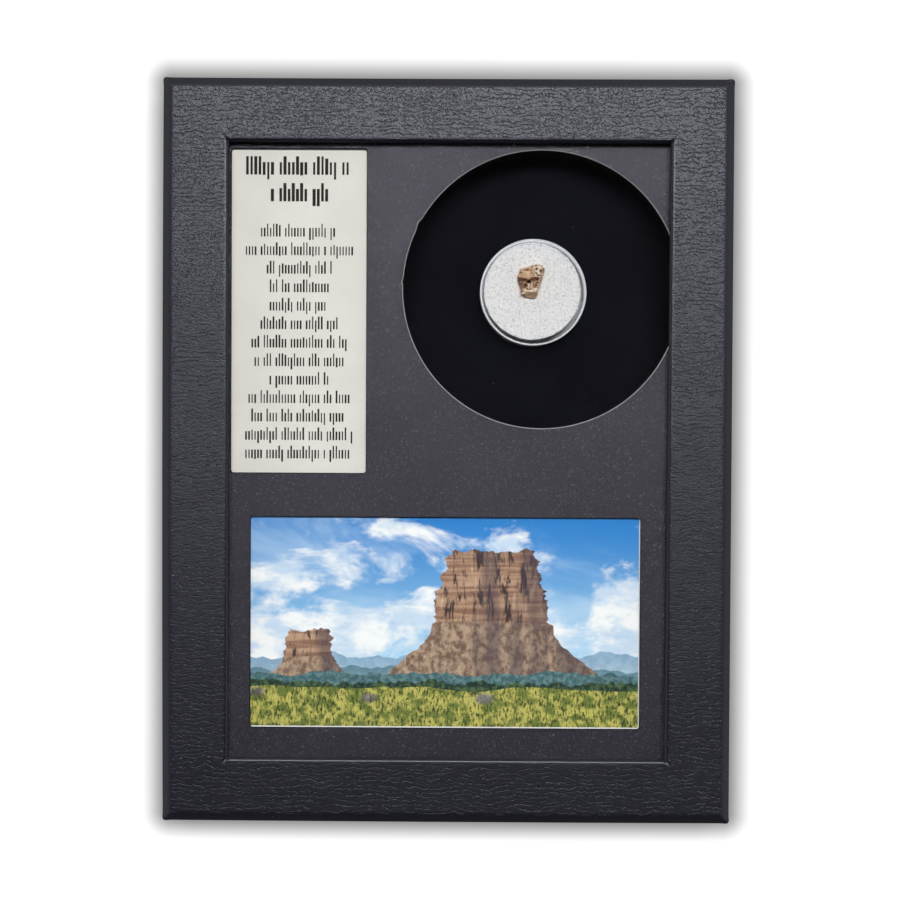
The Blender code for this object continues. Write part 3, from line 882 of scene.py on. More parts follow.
@dataclass(frozen=True)
class LandscapePrint(Finish):
    """A plain printed landscape: sky, clouds, hills, sandstone rocks, trees and a meadow."""

    middle: Point
    half_width: float
    half_height: float
    bare_card: Colour = (0.80, 0.80, 0.78)

    def paint(self, graph: Graph, shader: bpy.types.Node) -> None:
        """Feed the view's layers from the sky to the grass in front."""
        place = graph.vector("SUBTRACT", graph.place(), (*self.middle, 0.0))
        across, up, _ = graph.split(place)
        view = self.sky(graph, place, up)
        view = self.hills(graph, place, view)
        view = self.butte(graph, place, view, (-38.0, 6.5, 13.0), (-17.0, -1.0), 5.0)
        view = self.butte(graph, place, view, (13.0, 15.0, 31.0), (-17.5, 21.0), 1.0)
        view = self.trees(graph, place, view)
        view = self.meadow(graph, place, view)
        white = self.border(graph, across, up)
        graph.wire(shader, Base_Color=graph.mix(white, view, self.bare_card), Specular_IOR_Level=0.14,
                   Roughness=graph.step(graph.noise(place, 9.0), 0.3, 0.7, 0.34, 0.42))

    def sky(self, graph: Graph, place: Socket, up: Socket) -> Socket:
        """Return the sky with its clouds.

        Args:
            graph: the material's graph.
            place: the point in the print.
            up: its height in the print.

        Returns:
            The sky's colour.
        """
        height = graph.step(up, -18.0, 30.0)
        blue = graph.mix(height, (0.36, 0.66, 0.90), (0.022, 0.215, 0.60))
        flat = graph.vector("MULTIPLY", place, (0.55, 1.0, 1.0))
        billow = graph.noise(flat, 15.0, 7.0, 0.60, 0.35)
        wisps = graph.noise(graph.vector("ADD", flat, (31.0, 8.0, 2.0)), 24.0, 5.0, 0.55, 0.8)
        low = graph.step(up, 26.0, -8.0, 0.0, 0.20)
        cloud = graph.step(graph.total(billow, low), 0.53, 0.66)
        veil = graph.product(graph.step(wisps, 0.46, 0.72), 0.5)
        lit = graph.mix(graph.step(graph.noise(flat, 6.0, 5.0, 0.6), 0.38, 0.60),
                        (0.58, 0.72, 0.88), (0.93, 0.95, 0.96))
        return graph.mix(cloud, graph.mix(veil, blue, (0.60, 0.78, 0.93)), lit)

    def hills(self, graph: Graph, place: Socket, view: Socket) -> Socket:
        """Return the view with two ranges of far hills in front of it.

        Args:
            graph: the material's graph.
            place: the point in the print.
            view: the view so far.

        Returns:
            The new view's colour.
        """
        for level, relief, width, seed, colour in (
            (-9.0, 7.0, 26.0, 3.0, (0.28, 0.45, 0.62)),
            (-13.0, 4.5, 18.0, 9.0, (0.13, 0.26, 0.33)),
        ):
            line = graph.use(Skyline, Place=place, Level=level, Relief=relief,
                             Width=width, Rough=0.5, Seed=seed)
            haze = graph.step(line.outputs["Depth"], 0.0, 7.0)
            tone = graph.mix(haze, colour, (0.45, 0.60, 0.70))
            shaded = graph.mix(graph.step(graph.noise(place, 2.2, 4.0), 0.4, 0.6, 0.0, 0.35), tone,
                               tuple(part * 0.6 for part in colour))
            view = graph.mix(line.outputs["Mask"], view, shaded)
        return view

    def butte(self, graph: Graph, place: Socket, view: Socket, widths: tuple[float, float, float],
              levels: Point, seed: float) -> Socket:
        """Return the view with one flat-topped sandstone rock in front of it.

        Args:
            graph: the material's graph.
            place: the point in the print.
            view: the view so far.
            widths: the rock's middle, half its top and half its foot.
            levels: the heights of its foot and its top.
            seed: an offset for its cracks.

        Returns:
            The view with the rock.
        """
        middle, half_top, half_foot = widths
        foot, top = levels
        across, up, _ = graph.split(place)
        shifted = graph.vector("ADD", place, (seed * 17.0, 0.0, 0.0))
        rise = graph.math("DIVIDE", graph.math("SUBTRACT", up, foot), top - foot, True)
        off = graph.math("SUBTRACT", across, middle)
        jag = graph.product(graph.math("SUBTRACT", graph.noise(shifted, 4.0, 5.0, 0.6), 0.5), 5.0)
        ledge_line = graph.noise(graph.vector("MULTIPLY", shifted, (0.02, 1.0, 1.0)), 2.6, 2.0)
        ledge = graph.product(graph.math("SUBTRACT", ledge_line, 0.5), 5.0)
        slope = graph.math("POWER", graph.step(rise, 0.46, 0.0), 1.35)
        talus = graph.total(half_top * 1.12, graph.product(slope, half_foot - half_top * 1.12))
        cliff = graph.total(graph.step(rise, 0.40, 1.0, half_top * 1.10, half_top * 0.82), ledge)
        on_cliff = graph.step(rise, 0.44, 0.47)
        half = graph.total(graph.product(on_cliff, cliff), graph.product(graph.invert(on_cliff), talus))
        sideways = graph.math("ABSOLUTE", graph.total(off, jag))
        side = graph.step(graph.math("SUBTRACT", half, sideways), -0.15, 0.15)
        ridge = graph.noise(graph.vector("MULTIPLY", shifted, (1.0, 0.0, 0.0)), 7.0, 4.0, 0.55)
        crest = graph.total(top - 4.5, graph.product(ridge, 7.0))
        under = graph.step(graph.math("SUBTRACT", crest, up), -0.1, 0.1)
        body = graph.product(side, under, graph.math("GREATER_THAN", up, foot))
        cracks = graph.noise(graph.vector("MULTIPLY", shifted, (1.0, 0.22, 1.0)), 1.6, 5.0, 0.66, 0.4)
        bands = graph.noise(graph.vector("MULTIPLY", shifted, (0.08, 1.0, 1.0)), 2.1, 3.0, 0.6, 0.3)
        rock = graph.mix(graph.step(bands, 0.38, 0.62), (0.50, 0.32, 0.21), (0.25, 0.135, 0.090))
        scree = graph.noise(graph.vector("MULTIPLY", shifted, (0.7, 0.5, 1.0)), 1.4, 5.0, 0.7)
        loose = graph.mix(graph.step(scree, 0.38, 0.62), (0.16, 0.10, 0.075), (0.46, 0.33, 0.23))
        split = graph.mix(graph.step(cracks, 0.50, 0.37), rock, (0.040, 0.026, 0.028))
        rock = graph.mix(on_cliff, loose, split)
        rock = graph.mix(graph.step(cracks, 0.58, 0.72, 0.0, 0.6), rock, (0.78, 0.62, 0.48))
        folds = graph.noise(graph.vector("MULTIPLY", shifted, (1.0, 0.12, 1.0)), 9.0, 3.0, 0.55)
        shade = graph.total(graph.product(graph.math("DIVIDE", off, half_top), 0.30), graph.product(
            graph.math("SUBTRACT", folds, 0.5), 2.6))
        rock = graph.mix(graph.step(shade, -0.10, 0.35, 0.0, 0.62), rock, (0.060, 0.045, 0.062))
        return graph.mix(body, view, rock)

    def trees(self, graph: Graph, place: Socket, view: Socket) -> Socket:
        """Return the view with two hazy lines of round-topped trees in front of it.

        Args:
            graph: the material's graph.
            place: the point in the print.
            view: the view so far.

        Returns:
            The new view's colour.
        """
        for level, relief, width, seed, shade, light in (
            (-14.4, 3.2, 13.0, 41.0, (0.050, 0.115, 0.130), (0.13, 0.24, 0.25)),
            (-17.0, 3.6, 9.0, 47.0, (0.012, 0.030, 0.024), (0.075, 0.13, 0.055)),
        ):
            line = graph.use(Skyline, Place=place, Level=level, Relief=relief,
                             Width=width, Rough=0.66, Seed=seed)
            crowns = graph.noise(place, 1.5, 4.0, 0.6)
            leaves = graph.mix(graph.step(crowns, 0.42, 0.64), shade, light)
            view = graph.mix(line.outputs["Mask"], view, leaves)
        return view

    def meadow(self, graph: Graph, place: Socket, view: Socket) -> Socket:
        """Return the view with a meadow, stones and flowers in front of it.

        Args:
            graph: the material's graph.
            place: the point in the print.
            view: the view so far.

        Returns:
            The new view's colour.
        """
        field_edge = graph.use(Skyline, Place=place, Level=-18.6, Relief=2.6, Width=30.0,
                               Rough=0.45, Seed=27.0)
        blades = graph.noise(graph.vector("MULTIPLY", place, (1.0, 0.35, 1.0)), 0.55, 4.0, 0.7)
        tufts = graph.noise(place, 3.4, 4.0, 0.6)
        grass = graph.mix(graph.step(tufts, 0.42, 0.58), (0.15, 0.19, 0.040), (0.50, 0.47, 0.12))
        grass = graph.mix(graph.step(blades, 0.52, 0.38), grass, (0.028, 0.042, 0.014))
        stones = graph.use(Specks, Place=graph.vector("MULTIPLY", place, (0.55, 1.0, 1.0)),
                           Spacing=6.0, Radius=1.9, Share=0.20)
        stone = graph.mix(graph.step(tufts, 0.35, 0.65), (0.085, 0.078, 0.075), (0.26, 0.24, 0.22))
        grass = graph.mix(graph.product(stones.outputs["Mask"], graph.step(blades, 0.3, 0.5)), grass, stone)
        flowers = graph.use(Specks, Place=place, Spacing=0.9, Radius=0.26, Share=0.26)
        near = graph.step(field_edge.outputs["Depth"], 2.0, 7.0)
        yellow = graph.product(flowers.outputs["Mask"], near, graph.step(tufts, 0.42, 0.55))
        grass = graph.mix(yellow, grass, (0.78, 0.68, 0.10))
        return graph.mix(field_edge.outputs["Mask"], view, grass)

    def border(self, graph: Graph, across: Socket, up: Socket) -> Socket:
        """Return a mask of the narrow unprinted border at the right and the bottom.

        Args:
            graph: the material's graph.
            across: the place along the print.
            up: the height in it.

        Returns:
            The mask.
        """
        right = graph.math("GREATER_THAN", across, self.half_width - 0.26)
        bottom = graph.math("LESS_THAN", up, 0.24 - self.half_height)
        return graph.math("MAXIMUM", right, bottom)


@dataclass(frozen=True)
class StudioPaper(Finish):
    """The plain pale floor of the studio, with a soft painted shadow round the case."""

    colour: Colour = (0.34, 0.34, 0.34)
    glow: float = 0.80           # how bright the floor itself looks; it casts no light
    # middle and half: the box round which the painted shadow is drawn.
    middle: Point = (0.15, 0.05)
    half: Point = (79.7, 104.7)

    def paint(self, graph: Graph, shader: bpy.types.Node) -> None:
        """Feed a pale glow, with a soft painted shadow that darkens the floor close to the case."""
        place = graph.place()
        offset = graph.vector("ABSOLUTE", graph.vector("SUBTRACT", place, (*self.middle, 0.0)))
        beyond = graph.vector("MAXIMUM", graph.vector("SUBTRACT", offset, (*self.half, 0.0)))
        far_x, far_y, _ = graph.split(beyond)
        away = graph.math("SQRT", graph.total(graph.product(far_x, far_x), graph.product(far_y, far_y)))
        # Painted shadow: the floor's colour and glow fall to 0.17 at the case's foot and rise to full 10.8
        # mm away.
        share = graph.step(away, -0.7, 10.8, 0.17, 1.0)
        seen = graph.add("LightPath").outputs["Is Camera Ray"]
        graph.wire(shader, Base_Color=graph.scaled(self.colour, share), Roughness=0.9,
                   Specular_IOR_Level=0.1, Emission_Color=graph.join(share, share, share),
                   Emission_Strength=graph.product(seen, self.glow))


# Mesh helpers

def node_box(node: str) -> tuple[Vector, Vector]:
    """Return a node's lowest and highest corner, in millimetres."""
    low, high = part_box(node)
    return low / MM, high / MM


def store(mesh: bpy.types.Mesh, name: str, values: np.ndarray) -> None:
    """Store one number or one vector for each point of a mesh.

    Args:
        mesh: the mesh.
        name: the attribute's name.
        values: one row for each point.
    """
    flat = values.ndim == 1
    attribute = mesh.attributes.new(name, "FLOAT" if flat else "FLOAT_VECTOR", "POINT")
    attribute.data.foreach_set("value" if flat else "vector", values.astype(np.float32).ravel())


def placed(name: str, data: bpy.types.ID) -> bpy.types.Object:
    """Return a new object in the scene for a mesh, a curve, a lamp or a camera.

    Args:
        name: the object's name.
        data: what it shows.

    Returns:
        The object.
    """
    piece = bpy.data.objects.new(name, data)
    bpy.context.scene.collection.objects.link(piece)
    return piece


def vertex_rows(mesh: bpy.types.Mesh, name: str) -> np.ndarray:
    """Return one of a mesh's vertex vectors, one row each.

    Args:
        mesh: the mesh.
        name: the vector's name, such as co.

    Returns:
        The rows.
    """
    flat = np.zeros(len(mesh.vertices) * 3, np.float32)
    mesh.vertices.foreach_get(name, flat)
    return flat.reshape(-1, 3).astype(float)


def points_of(mesh: bpy.types.Mesh) -> np.ndarray:
    """Return a mesh's points in millimetres, one row each."""
    return vertex_rows(mesh, "co") / MM


def move_points(mesh: bpy.types.Mesh, points: np.ndarray) -> None:
    """Set a mesh's points, given in millimetres."""
    mesh.vertices.foreach_set("co", (points * MM).astype(np.float32).ravel())
    mesh.update()


def normals_of(mesh: bpy.types.Mesh) -> np.ndarray:
    """Return a mesh's point normals, one row each."""
    return vertex_rows(mesh, "normal")


def ease(value: np.ndarray | float, low: float, high: float) -> np.ndarray | float:
    """Return a smooth step from 0 at low to 1 at high, which may lie below low."""
    share = np.clip((value - low) / (high - low), 0.0, 1.0)
    return share * share * (3.0 - 2.0 * share)


def lumps(points: np.ndarray, size: float, octaves: int, seed: float) -> np.ndarray:
    """Return a fractal noise from about -1 to 1 for each point.

    Args:
        points: the points, in millimetres.
        size: the size of the largest lumps, in millimetres.
        octaves: how many finer layers are added.
        seed: an offset that picks another pattern.

    Returns:
        One value for each point.
    """
    offset = Vector((seed, seed * 1.7, -seed))
    return np.array([noise.fractal(Vector(point) / size + offset, 1.0, 2.0, octaves)
                     for point in points])


def band_mesh(name: str, rings: np.ndarray) -> bpy.types.Mesh:
    """Join closed rings of points, of which the last meets the first, in one skin.

    Args:
        name: the mesh's name.
        rings: an array of rings by points by three coordinates, in millimetres.

    Returns:
        The mesh.
    """
    count, length = rings.shape[:2]
    corners = np.arange(count * length).reshape(count, length)
    following = np.roll(corners, -1, axis=0)
    quads = np.stack([corners, np.roll(corners, -1, axis=1),
                      np.roll(following, -1, axis=1), following], axis=-1).reshape(-1, 4)
    mesh = bpy.data.meshes.new(name)
    mesh.from_pydata((rings.reshape(-1, 3) * MM).tolist(), [], quads.tolist())
    mesh.shade_smooth()
    return mesh


def turned_mesh(name: str, profile: Sequence[Point], centre: Point, steps: int) -> bpy.types.Mesh:
    """Turn a profile about an upright axis.

    Args:
        name: the mesh's name.
        profile: radius and height of each point, from the axis round to the axis, or
            round a ring without its first point again.
        centre: the axis, in millimetres.
        steps: how many steps make a turn.

    Returns:
        The mesh, closed at the axis.
    """
    bm = bmesh.new()
    rings: list[list[bmesh.types.BMVert]] = []
    for radius, height in profile:
        count = 1 if radius < 1e-6 else steps
        rings.append([
            bm.verts.new(Vector((
                centre[0] + radius * math.cos(math.tau * step / steps),
                centre[1] + radius * math.sin(math.tau * step / steps),
                height,
            )) * MM)
            for step in range(count)
        ])
    following = rings[1:] if profile[0][0] < 1e-6 else rings[1:] + rings[:1]
    for upper, lower in zip(rings, following):
        for step in range(steps):
            ahead = (step + 1) % steps
            corners = [upper[step % len(upper)], lower[step % len(lower)],
                       lower[ahead % len(lower)], upper[ahead % len(upper)]]
            bm.faces.new(list(dict.fromkeys(corners)))
    bmesh.ops.recalc_face_normals(bm, faces=bm.faces)
    mesh = bpy.data.meshes.new(name)
    bm.to_mesh(mesh)
    bm.free()
    level_off(mesh)
    return mesh


def level_off(mesh: bpy.types.Mesh) -> None:
    """Shade a mesh smoothly, but keep its level faces flat.

    Args:
        mesh: the mesh.
    """
    mesh.shade_smooth()
    for face in mesh.polygons:
        face.use_smooth = abs(face.normal.z) < 0.9995


def soften(profile: Sequence[Point], radius: float, steps: int = 4) -> list[Point]:
    """Round the corners of a profile.

    Args:
        profile: the points; the first and the last stay as they are.
        radius: the reach of each round corner along its sides.
        steps: how many steps make a corner.

    Returns:
        The rounded profile.
    """
    points = [Vector(point) for point in profile]
    result = [profile[0]]
    for before, corner, after in zip(points, points[1:], points[2:]):
        into, out = before - corner, after - corner
        reach = min(radius, into.length * 0.45, out.length * 0.45)
        start, end = corner + into.normalized() * reach, corner + out.normalized() * reach
        for step in range(steps + 1):
            share = step / steps
            bend = start.lerp(corner, share).lerp(corner.lerp(end, share), share)
            result.append((bend.x, bend.y))
    result.append(profile[-1])
    return result


def remeshed(name: str, source: bpy.types.Mesh, voxel: float, rounds: int = 3) -> bpy.types.Mesh:
    """Return an evenly fine copy of a closed mesh.

    Args:
        name: the new mesh's name.
        source: the mesh to copy.
        voxel: the size of a cell, in millimetres.
        rounds: how many times the skin is smoothed.

    Returns:
        The fine mesh.
    """
    worker = placed(name + "_work", source)
    remesh = worker.modifiers.new("even", "REMESH")
    remesh.mode = "VOXEL"
    remesh.voxel_size = voxel * MM
    smooth = worker.modifiers.new("smooth", "SMOOTH")
    smooth.factor = 0.5
    smooth.iterations = rounds
    graph = bpy.context.evaluated_depsgraph_get()
    mesh = bpy.data.meshes.new_from_object(worker.evaluated_get(graph))
    mesh.name = name
    bpy.data.objects.remove(worker)
    return mesh


@dataclass
class SubAssembly:
    """Pieces that are built and dressed together."""

    def build(self) -> None:
        """Build and dress the pieces."""
        raise NotImplementedError

    def dress(self, node: str, finish: Finish) -> None:
        """Give a carried-over node its finish.

        Args:
            node: the node's name.
            finish: what its surface gets.
        """
        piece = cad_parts[node]
        piece.data.materials.clear()
        piece.data.materials.append(finish.material())
        LOG.info("dressed %s with %s", node, finish.name)

    def stand_in(self, name: str, mesh: bpy.types.Mesh, finish: Finish, node: str) -> bpy.types.Object:
        """Add a finer piece in place of a node.

        Args:
            name: the piece's name.
            mesh: its mesh, in the frame's place.
            finish: what its surface gets.
            node: the node that it stands for.

        Returns:
            The piece.
        """
        mesh.materials.clear()
        mesh.materials.append(finish.material())
        piece = placed(name, mesh)
        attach(piece, ROOT)
        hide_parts(node)
        LOG.info("built %s with %d faces", name, len(mesh.polygons))
        return piece


@dataclass
class WrappedCase(SubAssembly):
    """The wrapped lid, the glass and the tray."""

    window_middle: Point = (0.2, 0.05)
    window_size: Point = (121.5, 170.4)
    edge_band: float = 2.9       # width of the turned edge as seen from the front
    edge_drop: float = 1.45      # how far the turned edge falls
    face_thickness: float = 1.7
    wall: float = 2.2
    outer_corner: float = 1.1
    window_corner: float = 0.22
    window_round: float = 0.85
    window_lean: float = 0.26    # how far the window's right edge leans out at the top
    side_steps: int = 150
    end_steps: int = 118
    corner_steps: int = 6
    bow: float = 0.28            # how far the left wall bulges
    end_pull: float = 0.12       # how far the short walls are drawn towards the foot
    ear: float = 0.22            # how far the folded paper stands out at a corner
    ear_reach: float = 1.3
    tuck_groove: float = 0.18    # depth of the tuck at the window's corner
    tuck_ridge: float = 0.06

    def build(self) -> None:
        """Build the lid and dress the glass and the tray."""
        leather = LeatherPaper("black_leather_paper", "wrapped_paper")
        self.stand_in("wrapped_lid", self.lid_mesh(), leather, "case_lid")
        glass = ClearFinish("window_glass_clear", "window_glass", (0.99, 0.992, 0.988), 1.5, 0.0)
        self.dress("glass_pane", glass)
        self.dress("case_tray", TrayPaper("tray_black_paper", "tray_paper"))

    def profile(self) -> list[tuple[float, float]]:
        """Return the lid's section: inset from the outer outline and height, in order.

        Returns:
            The inset and the height of each point, from the window's back edge round to it.
        """
        low, high = node_box("case_lid")
        front = high.z
        border = (high.x - low.x - self.window_size[0]) / 2
        back = front - self.face_thickness
        turn = self.window_round
        points = [(border, back), (border, back + 0.4)]
        for step in range(5):
            angle = math.radians(90 * step / 4)
            points.append((border - turn * (1 - math.cos(angle)), front - turn * (1 - math.sin(angle))))
        inner, outer = border - turn, self.edge_band
        points += [(inner + (outer - inner) * step / 24, front) for step in range(1, 25)]
        for step in range(1, 11):
            share = step / 10
            bent = share ** 2 if share < 0.5 else share - 0.25
            points.append((self.edge_band * (1 - share), front - self.edge_drop * bent / 0.75))
        side_top = front - self.edge_drop
        points += [(0.0, side_top + (low.z + 0.4 - side_top) * step / 14) for step in range(1, 15)]
        points += [(0.2, low.z + 0.08), (0.5, low.z), (self.wall - 0.4, low.z), (self.wall, low.z + 0.3)]
        points += [(self.wall, back * share) for share in (0.25, 0.5, 0.75, 1.0)]
        points += [(self.wall + (border - self.wall) * share, back) for share in (0.25, 0.5, 0.75)]
        return points

    def outline(self, inset: float, border: float, half: Point) -> tuple[np.ndarray, np.ndarray]:
        """Return the points of the lid's outline at one inset, and their outward directions.

        Args:
            inset: distance from the outer outline.
            border: the width of the whole border.
            half: half the lid's width and height.

        Returns:
            The points and the directions, one row each.
        """
        share = inset / border
        window = (self.window_size[0] / 2, self.window_size[1] / 2)
        size = [(1 - share) * half[axis] + share * window[axis] for axis in (0, 1)]
        middle = [share * self.window_middle[axis] for axis in (0, 1)]
        radius = max(self.window_corner, self.outer_corner - inset)
        inner = (size[0] - radius, size[1] - radius)
        points, outward = [], []
        sides = (((1, -1), (1, 1), (1, 0), self.side_steps), ((1, 1), (-1, 1), (0, 1), self.end_steps),
                 ((-1, 1), (-1, -1), (-1, 0), self.side_steps), ((-1, -1), (1, -1), (0, -1), self.end_steps))
        for number, (start, end, out, steps) in enumerate(sides):
            for step in range(steps):
                way = 0.5 - 0.5 * math.cos(math.pi * (0.1 + 0.8 * step / (steps - 1)))
                low_end = 0.5 - 0.5 * math.cos(math.pi * 0.1)
                way = (way - low_end) / (1 - 2 * low_end)
                corner = [start[axis] + (end[axis] - start[axis]) * way for axis in (0, 1)]
                points.append([middle[axis] + corner[axis] * inner[axis] + out[axis] * radius
                               for axis in (0, 1)])
                outward.append(out)
            for step in range(1, self.corner_steps):
                angle = math.radians(90) * (number + step / self.corner_steps)
                direction = (math.cos(angle), math.sin(angle))
                points.append([middle[axis] + end[axis] * inner[axis] + direction[axis] * radius
                               for axis in (0, 1)])
                outward.append(direction)
        return np.array(points), np.array(outward)

    def lid_mesh(self) -> bpy.types.Mesh:
        """Return the wrapped lid, with its bowed wall, tucked corners and stored zones.

        Returns:
            The mesh.
        """
        low, high = node_box("case_lid")
        half = (high.x, high.y)
        border = high.x - self.window_size[0] / 2
        rings, places = [], []
        zones = {"turned_edge": [], "inner_edge": [], "inner_wall": [], "edge_wear": []}
        for inset, height in self.profile():
            flat, outward = self.outline(inset, border, half)
            fall = high.z - height
            sign = 1.0 if inset < border / 2 else -1.0
            places.append(np.c_[flat + outward * fall * sign, np.zeros(len(flat))])
            rings.append(np.c_[flat, np.full(len(flat), height)])
            on_front = height > high.z - self.edge_drop - 0.2
            turn = border - self.window_round
            edge = ease(inset, self.edge_band + 0.3, self.edge_band * 0.55)
            rolled = ease(fall, 0.25 * self.window_round, 0.6 * self.window_round)
            for name, value in (
                ("turned_edge", edge if on_front else 0.15),
                ("inner_edge", ease(inset, turn - 0.3, turn) * on_front),
                ("inner_wall", rolled * (inset > turn)),
                ("edge_wear", float(0.0 < inset < self.edge_band and on_front)),
            ):
                zones[name].append(np.full(len(flat), value))
        rings = np.array(rings)
        flat = rings.reshape(-1, 3)
        flat[:] = self.worked(flat, half, high.z, low.z)
        mesh = band_mesh("wrapped_lid", rings[::-1])
        past = np.maximum(0, np.abs(flat[:, :2]) - half + 6)
        near_corner = ease(np.hypot(*past.T), 5.0, 8.0).reshape(len(rings), -1)
        zones["edge_wear"] = list(np.array(zones["edge_wear"]) * (0.25 + 0.75 * near_corner))
        store(mesh, "paper_place", np.concatenate(places[::-1]))
        for name, values in zones.items():
            store(mesh, name, np.concatenate(values[::-1]))
        return mesh

    def worked(self, points: np.ndarray, half: Point, front: float, foot: float) -> np.ndarray:
        """Return the lid's points with the unevenness of a hand-wrapped box.

        Args:
            points: the even points.
            half: half the lid's width and height.
            front: the height of its front.
            foot: the height of its lower edge.

        Returns:
            The worked points.
        """
        across, up, height = points.T
        moved = points.copy()
        outer = ease(np.maximum(np.abs(across) / half[0], np.abs(up) / half[1]), 0.80, 1.0)
        left = (across < 0) * outer * (1 - (up / half[1]) ** 2)
        moved[:, 0] -= self.bow * left * (np.abs(across) > half[0] - 20)
        window = ease(across, half[0], half[0] - 12) * ease(np.abs(up), half[1], half[1] - 12)
        moved[:, 0] += self.window_lean * window * (across > half[0] - 24) * up / (half[1] - 20)
        ends = outer * (np.abs(up) > half[1] - 20) * (1 - (across / half[0]) ** 2)
        moved[:, 1] -= self.end_pull * ends
        swell = lumps(points * (1.0, 1.0, 0.4), 22.0, 3, 5.0)
        fine = lumps(points, 3.5, 3, 9.0)
        upper = ease(height, foot, front)
        moved[:, 2] += upper * (0.05 * swell + 0.02 * fine) * (height > front - 3)
        wall = (height < front - 1.6) & (height > foot + 0.5)
        moved[:, 0] += wall * np.sign(across) * (np.abs(across) > half[0] - 1) * 0.05 * swell
        moved[:, 1] += wall * np.sign(up) * (np.abs(up) > half[1] - 1) * 0.05 * swell
        for side_x in (-1, 1):
            for side_y in (-1, 1):
                self.work_corner(points, moved, (side_x, side_y), half, front)
        return moved

    def work_corner(self, points: np.ndarray, moved: np.ndarray, side: tuple[int, int],
                    half: Point, front: float) -> None:
        """Fold the paper at one outer corner and tuck it at the window's corner.

        Args:
            points: the even points.
            moved: the worked points, which this changes.
            side: the corner, as signs along X and Y.
            half: half the lid's width and height.
            front: the height of its front.
        """
        corner = np.array([side[0] * half[0], side[1] * half[1]])
        away = np.hypot(points[:, 0] - corner[0], points[:, 1] - corner[1])
        on_top = points[:, 2] > front - 2.2
        ear = np.exp(-(away / self.ear_reach) ** 2) * on_top
        moved[:, 0] += side[0] * self.ear * ear
        moved[:, 1] += side[1] * self.ear * ear
        tuck = np.array([self.window_middle[0] + side[0] * self.window_size[0] / 2,
                         self.window_middle[1] + side[1] * self.window_size[1] / 2])
        offset = points[:, :2] - tuck
        along = offset @ np.array(side) / math.sqrt(2)
        beside = offset @ np.array([side[1], -side[0]]) / math.sqrt(2)
        groove = np.exp(-(beside / 0.35) ** 2) * ease(along, 2.2, 0.3) * (along > -0.3)
        ridge = np.exp(-((np.abs(beside) - 0.75) / 0.4) ** 2) * ease(along, 1.9, 0.3) * (along > -0.3)
        moved[:, 2] += (self.tuck_ridge * ridge - self.tuck_groove * groove) * (points[:, 2] > front - 0.7)


